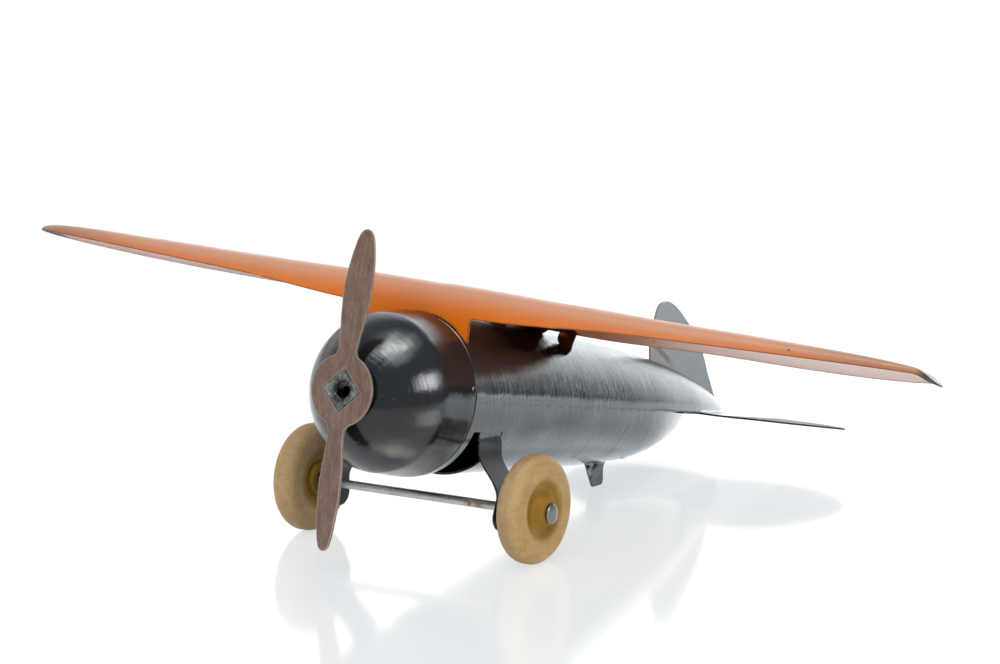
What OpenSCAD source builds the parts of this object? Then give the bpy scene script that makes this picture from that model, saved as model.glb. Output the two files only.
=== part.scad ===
// Pressed steel toy monoplane. Two pressed fuselage halves meet at the axis plane, a domed
// nose cap closes the front, a one-piece open-bottomed wing sits on top and a fin stands on
// the spine. The propeller spins on a hollow rivet, and two wheels turn on a through axle
// held by legs that are cut and bent out of the belly. A folded skid carries the tail.
// Nose towards -Y, left wing tip towards +X, floor at Z = 0. Millimetres and degrees.
// s is the distance aft of the propeller along the body axis, n the height above that axis.

/* [Stance] */
// Height of the propeller centre above the floor
hub_height = 63; // [56:0.2:70]
// How far the propeller centre lies ahead of the wheel axle
hub_ahead = 46.4; // [38:0.2:52]
// Nose-up angle of the body axis
pitch = 11.3; // [9:0.1:12]

/* [Fuselage] */
// Thickness of the pressed body sheet
sheet = 0.7; // [0.5:0.05:1]
// Diameter of the body just behind the nose cap
body_dia = 57.6; // [52:0.2:64]
// Loss of radius per mm of length before the tail curve takes over
side_taper = 0.052; // [0.03:0.002:0.07]
// Where the spine ends
spine_end = 252; // [244:1:262]
// Radius left at the end of the spine
spine_end_r = 2.2; // [1.4:0.1:3]
// Where the belly starts to round up to the tail
belly_turn = 170; // [164:1:180]
// How far ahead of the spine's end the belly closes
belly_short = 28; // [20:1:34]

/* [Nose cap] */
// Thickness of the cap sheet
cap_sheet = 0.6; // [0.5:0.05:0.9]
// Radius of the dome
dome_r = 29; // [27:0.1:32]
// Where the dome meets the skirt
crease = 22; // [18:0.5:25]
// Where the skirt ends
rim = 38.4; // [36:0.2:42]
// Length of the body lips that go inside the skirt
lip_len = 8.4; // [5:0.2:11]
// Play between the lips and the skirt
lip_gap = 0.1; // [0.05:0.05:0.3]

/* [Wing] */
// Tip to tip
span = 379; // [340:1:420]
// Thickness of the wing sheet
wing_sheet = 0.7; // [0.5:0.05:1]
// Leading edge at the middle
wing_front = 40.5; // [39.7:0.1:46]
// Sweep of the leading edge from the middle to the tip
front_sweep = 27.3; // [20:0.1:34]
// Chord at the middle
chord = 74.5; // [64:0.5:84]
// Height of the leading edge's lower lip at the middle
wing_low = 28.3; // [27:0.1:31]
// How much the lips rise from the middle to the plain part of the wing
lip_rise = 2; // [0:0.1:3]
// Half width of the deeper middle
lip_reach = 60; // [40:1:80]
// How much lower the trailing lip is at the middle
wing_fall = 1.5; // [1:0.1:3.4]
// How much lower still the trailing lip is at the tips
wing_twist = 7.1; // [0:0.1:9]
// How far the trailing lip is pressed down on to the body
rear_dip = 1.7; // [0:0.1:1.7]
// Where that ends, just short of the left tab
dip_end = 5.6; // [4:0.2:7]
// Crown of the wing above its lips, without the deeper middle
crown_mid = 8.8; // [7:0.1:12]
// Crown near the tips
crown_tip = 1.9; // [1.4:0.1:4]
// Upward angle of each wing half
dihedral = 1; // [0:0.1:3]
// Rise of the tips by the bow of the wing
tip_rise = 3.3; // [0:0.1:6]
// How far the whole wing has been knocked down to the left
wing_roll = 2.2; // [0:0.1:2.8]
// Half width of the front apron
apron_half = 21.5; // [16:0.1:24]
// Middle of each rear tab, measured from the centre
tab_x = 15.2; // [12:0.2:17]
// Width of each rear tab at its root
tab_w = 7; // [6:0.2:9]
// Width of the tongues that go through the body
tongue_w = 4; // [3:0.2:5]
// How far the tongues reach inside the body
tongue_in = 2.4; // [1.5:0.1:4]
// Play of a tongue in its slot
slot_gap = 0.12; // [0.1:0.01:0.2]
// Space under what is seated on the body
seat_gap = 0.1; // [0.05:0.05:0.2]

/* [Tail] */
// Tailplane tip to tip
tail_span = 121; // [110:1:132]
// How far ahead of the spine's end the tailplane leaves the body
tail_ahead = 40; // [36:0.5:44]
// Chord of the tailplane
tail_chord = 43; // [38:0.5:48]
// Thickness of the fin sheet
fin_sheet = 0.7; // [0.5:0.05:1]
// How far ahead of the spine's end the fin's foot starts
fin_ahead = 55; // [53:0.5:60]
// Length of the fin's foot
fin_len = 50; // [44:0.5:52]
// Height of the fin above the axis
fin_top = 39.8; // [34:0.2:44]

/* [Skid] */
// Front of the skid where it leaves the belly
skid_front = 161; // [154:0.5:165]
// Length of the skid at the belly
skid_len = 12.5; // [11:0.5:16]
// Space between the skid's two sides
skid_space = 1.8; // [1.4:0.1:4]
// Length of the skid's edge on the floor
skid_foot = 7.8; // [5:0.2:9]
// How far the skid flares out behind, just under the belly
skid_flare = 4; // [1:0.1:5]

/* [Legs and axle] */
// Sheet thickness of the legs
leg_sheet = 0.8; // [0.6:0.05:1]
// Width of a leg at the belly
leg_w = 14; // [12:0.2:17]
// Width of a foot
foot_w = 18.6; // [17:0.2:19]
// Sideways place of the feet
foot_x = 36.8; // [34:0.2:38.5]
// Depth of the belly fold below the axis
fold_drop = 10; // [8:0.2:12]
// Front of the opening that the legs leave
gap_front = 43; // [42:0.2:44]
// Length of that opening
gap_len = 19.6; // [19:0.2:22]
// Diameter of the axle
axle_dia = 3.1; // [2.4:0.1:4]
// Play of a turning part on its pin, in radius
run_gap = 0.08; // [0.04:0.01:0.1]
// Play of a turning part along its pin
end_gap = 0.2; // [0.15:0.05:0.4]
// Diameter of the domed axle caps
axle_cap_dia = 6.8; // [5.8:0.2:8]
// Length of an axle cap
axle_cap_len = 1.4; // [1.2:0.1:4]

/* [Wheels] */
// Diameter of a wheel
wheel_dia = 38; // [34:0.5:40]
// Width of a wheel
wheel_w = 9; // [7:0.2:11]
// How far the axle hangs below the middle of the wheels, in their loose bores
wheel_slack = 0.9; // [0:0.1:1.2]
// Distance between the middles of the wheels
track = 94; // [92:0.5:104]
// Diameter of the outer dish
dish_out = 21; // [16:0.5:24]
// Diameter of the inner dish
dish_in = 16; // [13:0.5:20]
// Depth of both dishes
dish_deep = 1.2; // [0.5:0.1:2]
// Diameter of the boss round the bore
boss_dia = 9.6; // [8.4:0.2:11]
// How far the outer boss stands out of the wheel's face
boss_out = 2.2; // [0:0.1:3]
// Diameter of the tubes between the feet and the wheels
spacer_dia = 6; // [5:0.2:7]

/* [Propeller] */
// Tip to tip
prop_dia = 110; // [96:1:118]
// Thickness of the propeller sheet
prop_sheet = 0.9; // [0.6:0.05:1.2]
// Diameter of the hub disc
hub_dia = 25; // [22:0.5:30]
// Widest part of a blade
blade_w = 10.2; // [8:0.2:14]
// Width of a blade where it leaves the hub
neck_w = 6.8; // [6:0.2:10]
// Angle of the blades to the hub disc
blade_twist = 11; // [0:0.5:20]
// Backward lean of the blades
blade_lean = 2.7; // [0:0.1:5]
// How far the propeller is turned at rest, top to the left
prop_turn = 2.5; // [0:0.5:45]
// Side of the square hole
square_hole = 11; // [10:0.2:13]
// Outer diameter of the hollow rivet
rivet_dia = 6.8; // [6.4:0.1:8.4]
// Bore of the hollow rivet
rivet_bore = 5.4; // [4.6:0.1:5.8]
// Diameter of the washers on the rivet
washer_dia = 12.4; // [11:0.2:14]
// Thickness of the inner washer
washer_t = 0.8; // [0.5:0.1:1.2]

/* [Hidden] */
$fn = 96;
far = 200;
body_r = body_dia / 2;
axle_r = axle_dia / 2;
wheel_r = wheel_dia / 2;

// The tail curve takes the body from its straight taper to the spine's end radius
spine_len = spine_end - rim;
belly_end = spine_end - belly_short;
tail_drop = body_r - side_taper * spine_len - spine_end_r;
tail_power = 5.2;
belly_power = 1.9;

// The dome's centre, so that its flat front pad lies just behind the thrust washer
washer_front = 1.6;
pad_r = washer_dia / 2 + 0.3;
pad_s = prop_sheet / 2 + end_gap + washer_front;
dome_s = pad_s + sqrt(dome_r * dome_r - pad_r * pad_r);
crease_r = sqrt(dome_r * dome_r - (dome_s - crease) * (dome_s - crease));

// Tail places, which follow the spine's end
tail_front = spine_end - tail_ahead;
fin_front = spine_end - fin_ahead;

// The axle seen from the hub, and the middle of the whole length
axle_z = wheel_r - wheel_slack;
axle_s = hub_ahead * cos(pitch) + (hub_height - axle_z) * sin(pitch);
axle_n = hub_ahead * sin(pitch) - (hub_height - axle_z) * cos(pitch);
tail_back = tail_front + tail_chord;
blade_len = prop_dia / 2 - hub_dia / 2;
blade_reach = (hub_dia / 2 + blade_len * cos(blade_lean)) * sin(pitch)
    + (prop_sheet / 2 - blade_len * sin(blade_lean)) * cos(pitch);
tail_reach = tail_back * cos(pitch);
axle_y = hub_ahead - (tail_reach - blade_reach) / 2;
hub_y = axle_y - hub_ahead;

// Points and curves
function arc(middle, r, from, to, steps) =
    [for (i = [0 : steps]) let (a = from + (to - from) * i / steps) middle + r * [cos(a), sin(a)]];
function flip(points) = [for (i = [len(points) - 1 : -1 : 0]) points[i]];
function mirrored(points) = [for (p = flip(points)) [-p[0], p[1]]];
function ease(u) = u * u * (3 - 2 * u);
function between(a, b, c, d, t) = 0.5 * (2 * b + (c - a) * t
    + (2 * a - 5 * b + 4 * c - d) * t * t + (3 * b - a - 3 * c + d) * t * t * t);
function smooth(p, steps) = let (last = len(p) - 1) concat(
    [for (k = [0 : last - 1], i = [0 : steps - 1])
        between(p[max(k - 1, 0)], p[k], p[k + 1], p[min(k + 2, last)], i / steps)], [p[last]]);
function heading(p, i) = let (d = p[min(i + 1, len(p) - 1)] - p[max(i - 1, 0)]) d / norm(d);
function inset(p, depth) = [for (i = [0 : len(p) - 1])
    let (d = heading(p, i), q = p[i] - depth * [d[1], -d[0]]) [max(q[0], 0), q[1]]];
function to_floor(s, n) =
    [hub_y + s * cos(pitch) + n * sin(pitch), hub_height - s * sin(pitch) + n * cos(pitch)];

// Radius of the upper and lower halves at any place along the body
function upper_r(s) = let (t = max(s - rim, 0) / spine_len)
    body_r - side_taper * spine_len * t - tail_drop * pow(t, tail_power);
function belly_part(s) = max(s - belly_turn, 0) / (belly_end - belly_turn);
function lower_r(s) = upper_r(s) * sqrt(max(1 - pow(belly_part(s), belly_power), 0));
function skirt_r(s) = crease_r + (body_r - crease_r) * (s - crease) / (rim - crease) - 1.01 * cap_sheet;

// Front lip, then a small step out to the body's own radius
step_s = 0.5;
lip = [for (s = [rim - lip_len, rim + 0.2]) [skirt_r(s) - lip_gap, s]];
upper_line = concat(lip, [for (i = [0 : 28]) let (u = i / 28,
    s = rim + step_s + 0.4 + (spine_end - rim - step_s - 0.4) * (1 - pow(1 - u, 1.4))) [upper_r(s), s]]);
lower_line = concat(lip,
    [for (i = [0 : 9]) let (s = rim + step_s + 0.4 + (belly_turn - rim - step_s - 0.4) * i / 9)
        [lower_r(s), s]],
    [for (i = [1 : 16]) let (s = belly_turn + (belly_end - belly_turn) * (1 - pow(1 - i / 16, 2)))
        [lower_r(s), s]]);

module on_body() {
    translate([0, hub_y, hub_height]) rotate([-pitch, 0, 0]) children();
}

module on_prop() {
    on_body() rotate([0, prop_turn, 0]) children();
}

module on_wing() {
    on_body() translate([0, 0, wing_low]) rotate([0, wing_roll, 0]) translate([0, 0, -wing_low])
        children();
}

// Turns an outline of radius and distance aft round the body axis
module turned(outline, angle = 360, start = 0) {
    rotate([-90, 0, 0]) rotate_extrude(angle = angle, start = start) polygon(outline);
}

// A ring or disc round the body axis
module ring(from, to, outer, inner) {
    turned([[inner, from], [outer, from], [outer, to], [inner, to]]);
}

// A plate standing across the body, drawn in x and n
module across(s, thick) {
    translate([0, s + thick, 0]) rotate([90, 0, 0]) linear_extrude(thick) children();
}

// A plate standing along the body, drawn in s and n
module along(x, thick) {
    translate([x, 0, 0]) rotate([90, 0, 90]) linear_extrude(thick) children();
}

module both_sides() {
    children();
    mirror([1, 0, 0]) children();
}

// The space inside a fuselage line
module body_solid(line, grow = 0) {
    turned(concat([[0, line[0][1]]], [for (p = line) [p[0] + grow, p[1]]], [[0, line[len(line) - 1][1]]]));
}

// Nose

module nose_cap() {
    dome = arc([0, dome_s], dome_r, -90 + asin(pad_r / dome_r),
        -90 + asin(crease_r / dome_r), 18);
    outer = concat([[0, pad_s]], dome, [[body_r, rim]]);
    color([0.05, 0.05, 0.06]) on_body() difference() {
        turned(concat(outer, flip(inset(outer, cap_sheet))));
        ring(-far, far / 10, rivet_dia / 2 + run_gap, 0);
    }
}

// Fuselage halves

tail_half = tail_span / 2;
tail_edge = smooth([
    [0.18 * tail_half, tail_front + 0.6],
    [0.42 * tail_half, tail_front],
    [0.66 * tail_half, tail_front + 0.1 * tail_chord],
    [0.86 * tail_half, tail_front + 0.3 * tail_chord],
    [0.975 * tail_half, tail_front + 0.52 * tail_chord],
    [tail_half, tail_front + 0.68 * tail_chord],
    [0.955 * tail_half, tail_front + 0.8 * tail_chord],
    [0.8 * tail_half, tail_front + 0.93 * tail_chord],
    [0.58 * tail_half, tail_back],
    [0.28 * tail_half, tail_back],
    [0.14 * tail_half, tail_back - 1.6],
    [0.03 * tail_half, spine_end - 2]
], 4);
ledge_front = fin_front;

// Flat sheet round the tail: the tailplane and the ledge beside the spine
module tail_sheet() {
    steps = 20;
    outside = [for (i = [0 : steps]) let (s = ledge_front + (spine_end - ledge_front) * i / steps)
        [upper_r(s) - 0.2 * sheet, s]];
    inside = [for (i = [0 : steps]) let (s = ledge_front - 1 + (spine_end - 1 - ledge_front) * i / steps)
        [max(s < belly_end ? lower_r(s) - sheet : upper_r(s) - sheet, 0.02), s]];
    translate([0, 0, -sheet]) linear_extrude(sheet) difference() {
        union() {
            polygon(concat(outside, mirrored(outside)));
            polygon(concat([[0, tail_front + 1]], tail_edge, mirrored(tail_edge)));
        }
        polygon(concat(inside, mirrored(inside)));
    }
}

module upper_shell() {
    inner = inset(upper_line, sheet);
    color([0.05, 0.05, 0.06]) difference() {
        on_body() union() {
            turned(concat(upper_line, flip(inner)), 180, 180);
            tail_sheet();
        }
        wing_tongues(slot_gap);
        on_body() fin_tongues(slot_gap);
    }
}

// Side outline of one leg, drawn in s and n
foot_low = axle_n - 8;
foot_corner = 5;
leg_outline = concat(
    [[axle_s - leg_w / 2, -fold_drop + 1.6], [axle_s - leg_w / 2, axle_n + 9]],
    arc([axle_s - foot_w / 2 + foot_corner, foot_low + foot_corner], foot_corner, 180, 270, 6),
    arc([axle_s + foot_w / 2 - foot_corner, foot_low + foot_corner], foot_corner, 270, 360, 6),
    [[axle_s + leg_w / 2, axle_n + 9], [axle_s + leg_w / 2, -fold_drop + 1.6]]);

// Bent line of one leg seen from the front, from the belly fold down to the foot
fold_x = sqrt(pow(lower_r(axle_s) - sheet / 2, 2) - fold_drop * fold_drop);
bend_top = -fold_drop - 6;
bend_low = axle_n + 2.4;
function leg_x(n) = n > bend_top ? fold_x + 0.1 * (-fold_drop - n)
    : fold_x + 0.6 + (foot_x - fold_x - 0.6) * ease(min((bend_top - n) / (bend_top - bend_low), 1));
leg_line = [for (i = [0 : 20]) let (n = -fold_drop + 1.8 + (foot_low - 1 + fold_drop - 1.8) * i / 20)
    [leg_x(n), n]];

module leg() {
    intersection() {
        across(axle_s - foot_w, 2 * foot_w)
            polygon(concat(inset(leg_line, leg_sheet / 2), flip(inset(leg_line, -leg_sheet / 2))));
        along(0, far) polygon(leg_outline);
    }
}

module lower_shell() {
    inner = inset(lower_line, sheet);
    color([0.06, 0.06, 0.07]) difference() {
        union() {
            on_body() difference() {
                turned(concat(lower_line, flip(inner)), 180, 0);
                translate([-far, gap_front, -far]) cube([2 * far, gap_len, far - fold_drop]);
                translate([-far, ledge_front, -sheet]) cube([2 * far, far, far]);
            }
            on_body() both_sides() leg();
        }
        both_sides() along(skid_space / 2 - slot_gap, sheet + 2 * slot_gap) skid_slot();
        translate([-far / 2, axle_y, axle_z]) rotate([0, 90, 0]) cylinder(r = axle_r + run_gap, h = far);
    }
}

// Skid: a folded strip. Its top lies inside the belly and its two sides go down through slots.
// Its outline is drawn in Y and Z, so that its foot lies flat on the floor.
skid_back = skid_front + skid_len;
function skid_seat(s) = -lower_r(s) + sheet + 2 * seat_gap;
skid_top = [for (s = [skid_back, skid_front]) to_floor(s, skid_seat(s) + sheet)];
skid_inside = [for (s = [skid_front, skid_back]) to_floor(s, skid_seat(s))];
skid_out = [for (s = [skid_back, skid_front]) to_floor(s, -lower_r(s) - seat_gap)];
skid_tip = to_floor(skid_back + skid_flare, -lower_r(skid_back + skid_flare) - seat_gap);
skid_corner = 1.6;
skid_heel = skid_out[0][0] - 0.3;
skid_outline = concat(skid_top, [skid_out[1]],
    arc([skid_heel - skid_foot + skid_corner, skid_corner], skid_corner, 205, 270, 5),
    arc([skid_heel - skid_corner, skid_corner], skid_corner, 270, 360, 5),
    [for (i = [0 : 5]) let (t = i / 5, below = skid_out[0] - [0.3, skid_flare])
        pow(1 - t, 2) * below + 2 * t * (1 - t) * (skid_out[0] - [0.2, 0.5]) + t * t * skid_tip],
    [skid_out[0]]);

module skid_slot() {
    from = skid_front - slot_gap;
    to = skid_back + slot_gap;
    polygon([to_floor(from, -lower_r(from) - 2), to_floor(to, -lower_r(to) - 2),
        to_floor(to, -lower_r(to) + 2), to_floor(from, -lower_r(from) + 2)]);
}

module tail_skid() {
    half = skid_space / 2 + sheet;
    color([0.3, 0.3, 0.3]) {
        both_sides() along(skid_space / 2, sheet) polygon(skid_outline);
        along(-half, 2 * half) polygon(concat(skid_inside, skid_top));
    }
}

// Wing

wing_steps = 18;
half_span = span / 2;
tip_s = wing_front + front_sweep;

// Sweep of the angle that runs from tip to tip, closer together beside the left tab
wing_turns = concat([for (i = [0 : 21]) -90 + 87 * i / 21],
    [for (t = [-0.9, 0, 0.5, 0.7, 0.85, 0.95, 1.05, 1.15, 1.3]) asin(t * dip_end / half_span)],
    [for (i = [0 : 21]) 3 + 87 * i / 21]);
wing_rows = len(wing_turns) - 1;
dip_fade = 32;
function dip(x) = rear_dip * (x > 0 ? exp(-pow(x / dip_end, 10)) : exp(-pow(x / dip_fade, 4)));

// Height of the skin above the lips: u runs along the span, v along the chord
function crown(u) = (crown_mid - (crown_mid - crown_tip) * (sqrt(u * u + 0.01) - 0.1))
    * sqrt(max(1 - pow(u, 16), 0));
crest = 0.13;
function rise(v) = v < crest ? pow(1 - pow(1 - v / crest, 2.4), 1 / 2.4)
    : pow(1 - pow((v - crest) / (1 - crest), 2.1), 1 / 1.25);
function skin_point(i, j, depth) = let (
    u = sin(wing_turns[i]),
    v = (1 - cos(180 * j / wing_steps)) / 2,
    w = cos(wing_turns[i]),
    ahead = wing_front + depth + (front_sweep - depth) * (1 - w),
    behind = tip_s + (chord - front_sweep - depth) * w,
    s = ahead + (behind - ahead) * v,
    x = (half_span - depth) * u,
    deeper = lip_rise * exp(-pow(x / lip_reach, 4)),
    top = crown(u) + deeper,
    fall = (wing_fall + wing_twist * abs(u) + dip(x)) * (s - wing_front) / chord)
    [x, s, wing_low + lip_rise - deeper - fall + tan(dihedral) * abs(x) + tip_rise * u * u
        + max(top - depth, 0.15 * top) * rise(v)];
function grid(i, j) = i * (wing_steps + 1) + j;

module wing_skin() {
    count = (wing_rows + 1) * (wing_steps + 1);
    points = [for (depth = [0, wing_sheet], i = [0 : wing_rows], j = [0 : wing_steps])
        skin_point(i, j, depth)];
    edge = concat(
        [for (i = [0 : wing_rows - 1]) grid(i, 0)],
        [for (j = [0 : wing_steps - 1]) grid(wing_rows, j)],
        [for (i = [wing_rows : -1 : 1]) grid(i, wing_steps)],
        [for (j = [wing_steps : -1 : 1]) grid(0, j)]);
    outer = [for (i = [0 : wing_rows - 1], j = [0 : wing_steps - 1], half = [0, 1])
        half == 0 ? [grid(i, j), grid(i, j + 1), grid(i + 1, j + 1)]
            : [grid(i, j), grid(i + 1, j + 1), grid(i + 1, j)]];
    inner = [for (f = outer) [f[2] + count, f[1] + count, f[0] + count]];
    rim_faces = [for (k = [0 : len(edge) - 1], half = [0, 1])
        let (a = edge[k], b = edge[(k + 1) % len(edge)])
        half == 0 ? [a, b, b + count] : [a, b + count, a + count]];
    polyhedron(points, concat(outer, inner, rim_faces));
}

// Front apron and rear tabs, drawn in x and n, before the body is cut from them
apron_low = sqrt(body_r * body_r - apron_half * apron_half);
apron_turn = 1.4;
apron_s = wing_front + 0.3;
tab_s = wing_front + chord - wing_sheet - 0.9;
tab_low = sqrt(pow(upper_r(tab_s), 2) - pow(tab_x, 2));
tab_top = wing_low - wing_fall + 0.8;

module apron_face() {
    top = wing_low + 2;
    half = concat([[0, top], [apron_half + apron_turn, top]],
        arc([apron_half + apron_turn, wing_low - apron_turn], apron_turn, 90, 180, 5),
        [[apron_half, apron_low - 0.4], [0, apron_low - 0.4]]);
    both_sides() polygon(half);
}

module tab_face(side) {
    round_r = tab_w / 4;
    top = tab_top - dip(side * tab_x);
    mirror([side < 0 ? 1 : 0, 0]) polygon(concat([[tab_x + tab_w / 2, top], [tab_x - tab_w / 2, top]],
        arc([tab_x - tab_w / 4, tab_low], round_r, 180, 270, 5),
        arc([tab_x + tab_w / 12, tab_low], round_r, 270, 360, 5)));
}

// Tongues that go on through slots in the upper shell
module wing_tongues(grow = 0) {
    tall = 12;
    on_wing() both_sides() {
        translate([apron_half - tongue_w - 1 - grow, apron_s - grow, apron_low - tongue_in - grow])
            cube([tongue_w + 2 * grow, wing_sheet + 2 * grow, tall]);
        translate([tab_x - tongue_w / 2 - grow, tab_s - grow, tab_low - tongue_in - grow])
            cube([tongue_w + 2 * grow, wing_sheet + 2 * grow, tongue_in + tab_w / 2]);
    }
}

module wing() {
    color([0.87, 0.42, 0.16]) {
        difference() {
            on_wing() union() {
                across(apron_s, wing_sheet) apron_face();
                for (side = [1, -1]) across(tab_s, wing_sheet) tab_face(side);
                wing_skin();
            }
            on_body() body_solid(upper_line, seat_gap);
        }
        wing_tongues();
    }
}

// Fin

fin_back = fin_front + fin_len;

module fin_tongues(grow = 0) {
    for (part = [0.2, 0.64]) {
        s = fin_front + part * fin_len;
        low = upper_r(s) - sheet - tongue_in;
        along(-fin_sheet / 2 - grow, fin_sheet + 2 * grow)
            translate([s - grow, low - grow]) square([5 + 2 * grow, tongue_in + 2.5 * sheet]);
    }
}

module fin() {
    rise = fin_top - upper_r(fin_front);
    edge = smooth([
        [fin_front, upper_r(fin_front) + seat_gap],
        [fin_front - 1.2, fin_top - 0.72 * rise],
        [fin_front - 0.4, fin_top - 0.38 * rise],
        [fin_front + 1.4, fin_top - 0.09 * rise],
        [fin_front + 5.5, fin_top],
        [fin_front + 11, fin_top - 0.02 * rise],
        [fin_front + 0.34 * fin_len, fin_top - 0.13 * rise],
        [fin_front + 0.52 * fin_len, fin_top - 0.37 * rise],
        [fin_front + 0.7 * fin_len, fin_top - 0.67 * rise],
        [fin_front + 0.86 * fin_len, fin_top - 1.15 * rise],
        [fin_back, upper_r(fin_back) + 0.5 + seat_gap]
    ], 4);
    foot = [for (i = [0 : 12]) let (s = fin_back - fin_len * i / 12) [s, upper_r(s) + seat_gap]];
    color([0.07, 0.07, 0.09]) on_body() {
        along(-fin_sheet / 2, fin_sheet) polygon(concat(edge, foot));
        fin_tongues();
    }
}

// Propeller and its hollow rivet

module blade() {
    reach = prop_dia / 2;
    root = 0.42 * hub_dia;
    edge = smooth([
        [neck_w / 2, root], [neck_w / 2, hub_dia / 2 + 0.5],
        [0.45 * blade_w, 0.46 * reach], [blade_w / 2, 0.63 * reach], [0.45 * blade_w, 0.77 * reach],
        [0.35 * blade_w, 0.89 * reach], [0.26 * blade_w, 0.955 * reach], [0.14 * blade_w, 0.99 * reach],
        [0, reach]
    ], 4);
    translate([0, 0, hub_dia / 2]) rotate([-blade_lean, 0, 0]) translate([0, 0, -hub_dia / 2])
        rotate([0, 0, blade_twist]) across(-prop_sheet / 2, prop_sheet)
            polygon(concat(edge, mirrored(edge)));
}

module square_face(side) {
    rotate(45) square(side, center = true);
}

module propeller() {
    color([0.5, 0.38, 0.33]) on_prop() difference() {
        union() {
            ring(-prop_sheet / 2, prop_sheet / 2, hub_dia / 2, 0);
            blade();
            rotate([0, 180, 0]) blade();
        }
        across(-far / 2, far) square_face(square_hole);
    }
}

shank_r = rivet_dia / 2;
washer_back = pad_s + cap_sheet + end_gap;
rivet_back = washer_back + washer_t + 1.2;

module propeller_rivet() {
    bore_r = rivet_bore / 2;
    mouth = square_hole / 2 - 0.8;
    front = -prop_sheet / 2;
    color([0.45, 0.45, 0.44]) on_prop() difference() {
        union() {
            across(front, prop_sheet) square_face(square_hole - 0.3);
            ring(-front, rivet_back, shank_r, 0);
            turned([[0, washer_back + washer_t + 0.05], [shank_r, washer_back + washer_t + 0.05],
                [shank_r + 1.3, rivet_back - 0.2], [shank_r + 1.3, rivet_back], [0, rivet_back]]);
        }
        ring(-far, far, bore_r, 0);
        turned([[0, front - 1], [mouth + 1, front - 1], [mouth, front], [bore_r, -front - 0.1],
            [0, -front - 0.1]]);
    }
}

module thrust_washer() {
    color([0.45, 0.4, 0.36]) on_prop()
        ring(prop_sheet / 2 + 0.02, pad_s - end_gap, washer_dia / 2, shank_r + 0.04);
}

module rivet_washer() {
    color([0.45, 0.45, 0.44]) on_prop()
        ring(washer_back, washer_back + washer_t, washer_dia / 2 - 0.4, shank_r + 0.04);
}

// Axle, wheels and what holds them

module on_axle(side, height = axle_z) {
    mirror([side < 0 ? 1 : 0, 0, 0]) translate([0, axle_y, height]) rotate([0, 90, 0])
        rotate_extrude() children();
}

wheel_face = track / 2 + wheel_w / 2;
cap_in = wheel_face + boss_out + end_gap;
cap_wall = 0.8;

module axle() {
    half = cap_in + axle_cap_len - cap_wall - 0.05;
    color([0.42, 0.38, 0.35]) translate([-half, axle_y, axle_z]) rotate([0, 90, 0])
        cylinder(r = axle_r, h = 2 * half);
}

module axle_cap(side) {
    r = axle_cap_dia / 2;
    color([0.62, 0.6, 0.57]) on_axle(side) polygon(concat(
        [[axle_r + 0.02, cap_in], [r - 0.2, cap_in], [r, cap_in + 0.2]],
        [for (a = [0 : 15 : 90]) [r * cos(a), cap_in + 0.6 + (axle_cap_len - 0.6) * sin(a)]],
        [[0, cap_in + axle_cap_len - cap_wall], [axle_r + 0.02, cap_in + axle_cap_len - cap_wall]]));
}

module wheel(side) {
    bore_r = axle_r + run_gap + wheel_slack;
    boss_r = boss_dia / 2;
    inside = track / 2 - wheel_w / 2;
    shoulder = 0.42 * wheel_w;
    color([0.72, 0.57, 0.27]) on_axle(side, wheel_r) polygon(concat(
        [[bore_r, wheel_face + boss_out], [boss_r, wheel_face + boss_out],
            [boss_r + 0.6 + boss_out / 2, wheel_face - dish_deep],
            [dish_out / 2 - 1.4, wheel_face - dish_deep], [dish_out / 2, wheel_face - 0.2]],
        arc([wheel_r - shoulder, wheel_face - shoulder], shoulder, 90, 8, 7),
        arc([wheel_r - shoulder, inside + shoulder], shoulder, -8, -90, 7),
        [[dish_in / 2 + 0.4, inside + 0.2], [dish_in / 2 - 0.8, inside + dish_deep],
            [boss_r + 0.6, inside + dish_deep], [boss_r, inside], [bore_r, inside]]));
}

module wheel_spacer(side) {
    from = foot_x + leg_sheet / 2 + end_gap;
    to = track / 2 - wheel_w / 2 - end_gap;
    color([0.45, 0.42, 0.4]) on_axle(side)
        polygon([[axle_r + 0.05, from], [spacer_dia / 2, from], [spacer_dia / 2, to], [axle_r + 0.05, to]]);
}

nose_cap();
upper_shell();
lower_shell();
wing();
fin();
tail_skid();
propeller();
propeller_rivet();
thrust_washer();
rivet_washer();
axle();
axle_cap(1);  // axle_cap_left
axle_cap(-1);  // axle_cap_right
wheel(1);  // wheel_left
wheel(-1);  // wheel_right
wheel_spacer(1);  // wheel_spacer_left
wheel_spacer(-1);  // wheel_spacer_right
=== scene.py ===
import math
import bpy
import bmesh
from mathutils import Matrix, Vector, noise


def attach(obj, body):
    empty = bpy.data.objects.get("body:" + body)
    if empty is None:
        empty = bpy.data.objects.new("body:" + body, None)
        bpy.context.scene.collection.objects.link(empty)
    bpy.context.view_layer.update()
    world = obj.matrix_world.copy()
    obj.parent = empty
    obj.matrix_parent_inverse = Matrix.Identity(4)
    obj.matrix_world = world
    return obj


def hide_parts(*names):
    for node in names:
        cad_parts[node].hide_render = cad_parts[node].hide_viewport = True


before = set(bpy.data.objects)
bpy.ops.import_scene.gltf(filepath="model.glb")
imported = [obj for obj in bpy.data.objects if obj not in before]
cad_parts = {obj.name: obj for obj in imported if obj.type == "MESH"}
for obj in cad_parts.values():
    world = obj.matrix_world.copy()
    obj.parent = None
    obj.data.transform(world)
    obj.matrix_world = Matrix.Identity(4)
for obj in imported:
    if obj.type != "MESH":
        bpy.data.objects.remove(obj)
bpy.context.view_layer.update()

# Places shared by every piece. Body places are x, distance aft of the propeller and height
# above the body axis, all in millimetres.
stance = {"hub": (0, -120.405, 63), "noseUp": 11.3, "axle": (0, -74.005, 18.1), "wheelMiddle": 19}
mm = 0.001
toFloor = (Matrix.Translation(stance["hub"])
           @ Matrix.Rotation(-math.radians(stance["noseUp"]), 4, "X"))
toBody = toFloor.inverted()
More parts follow.
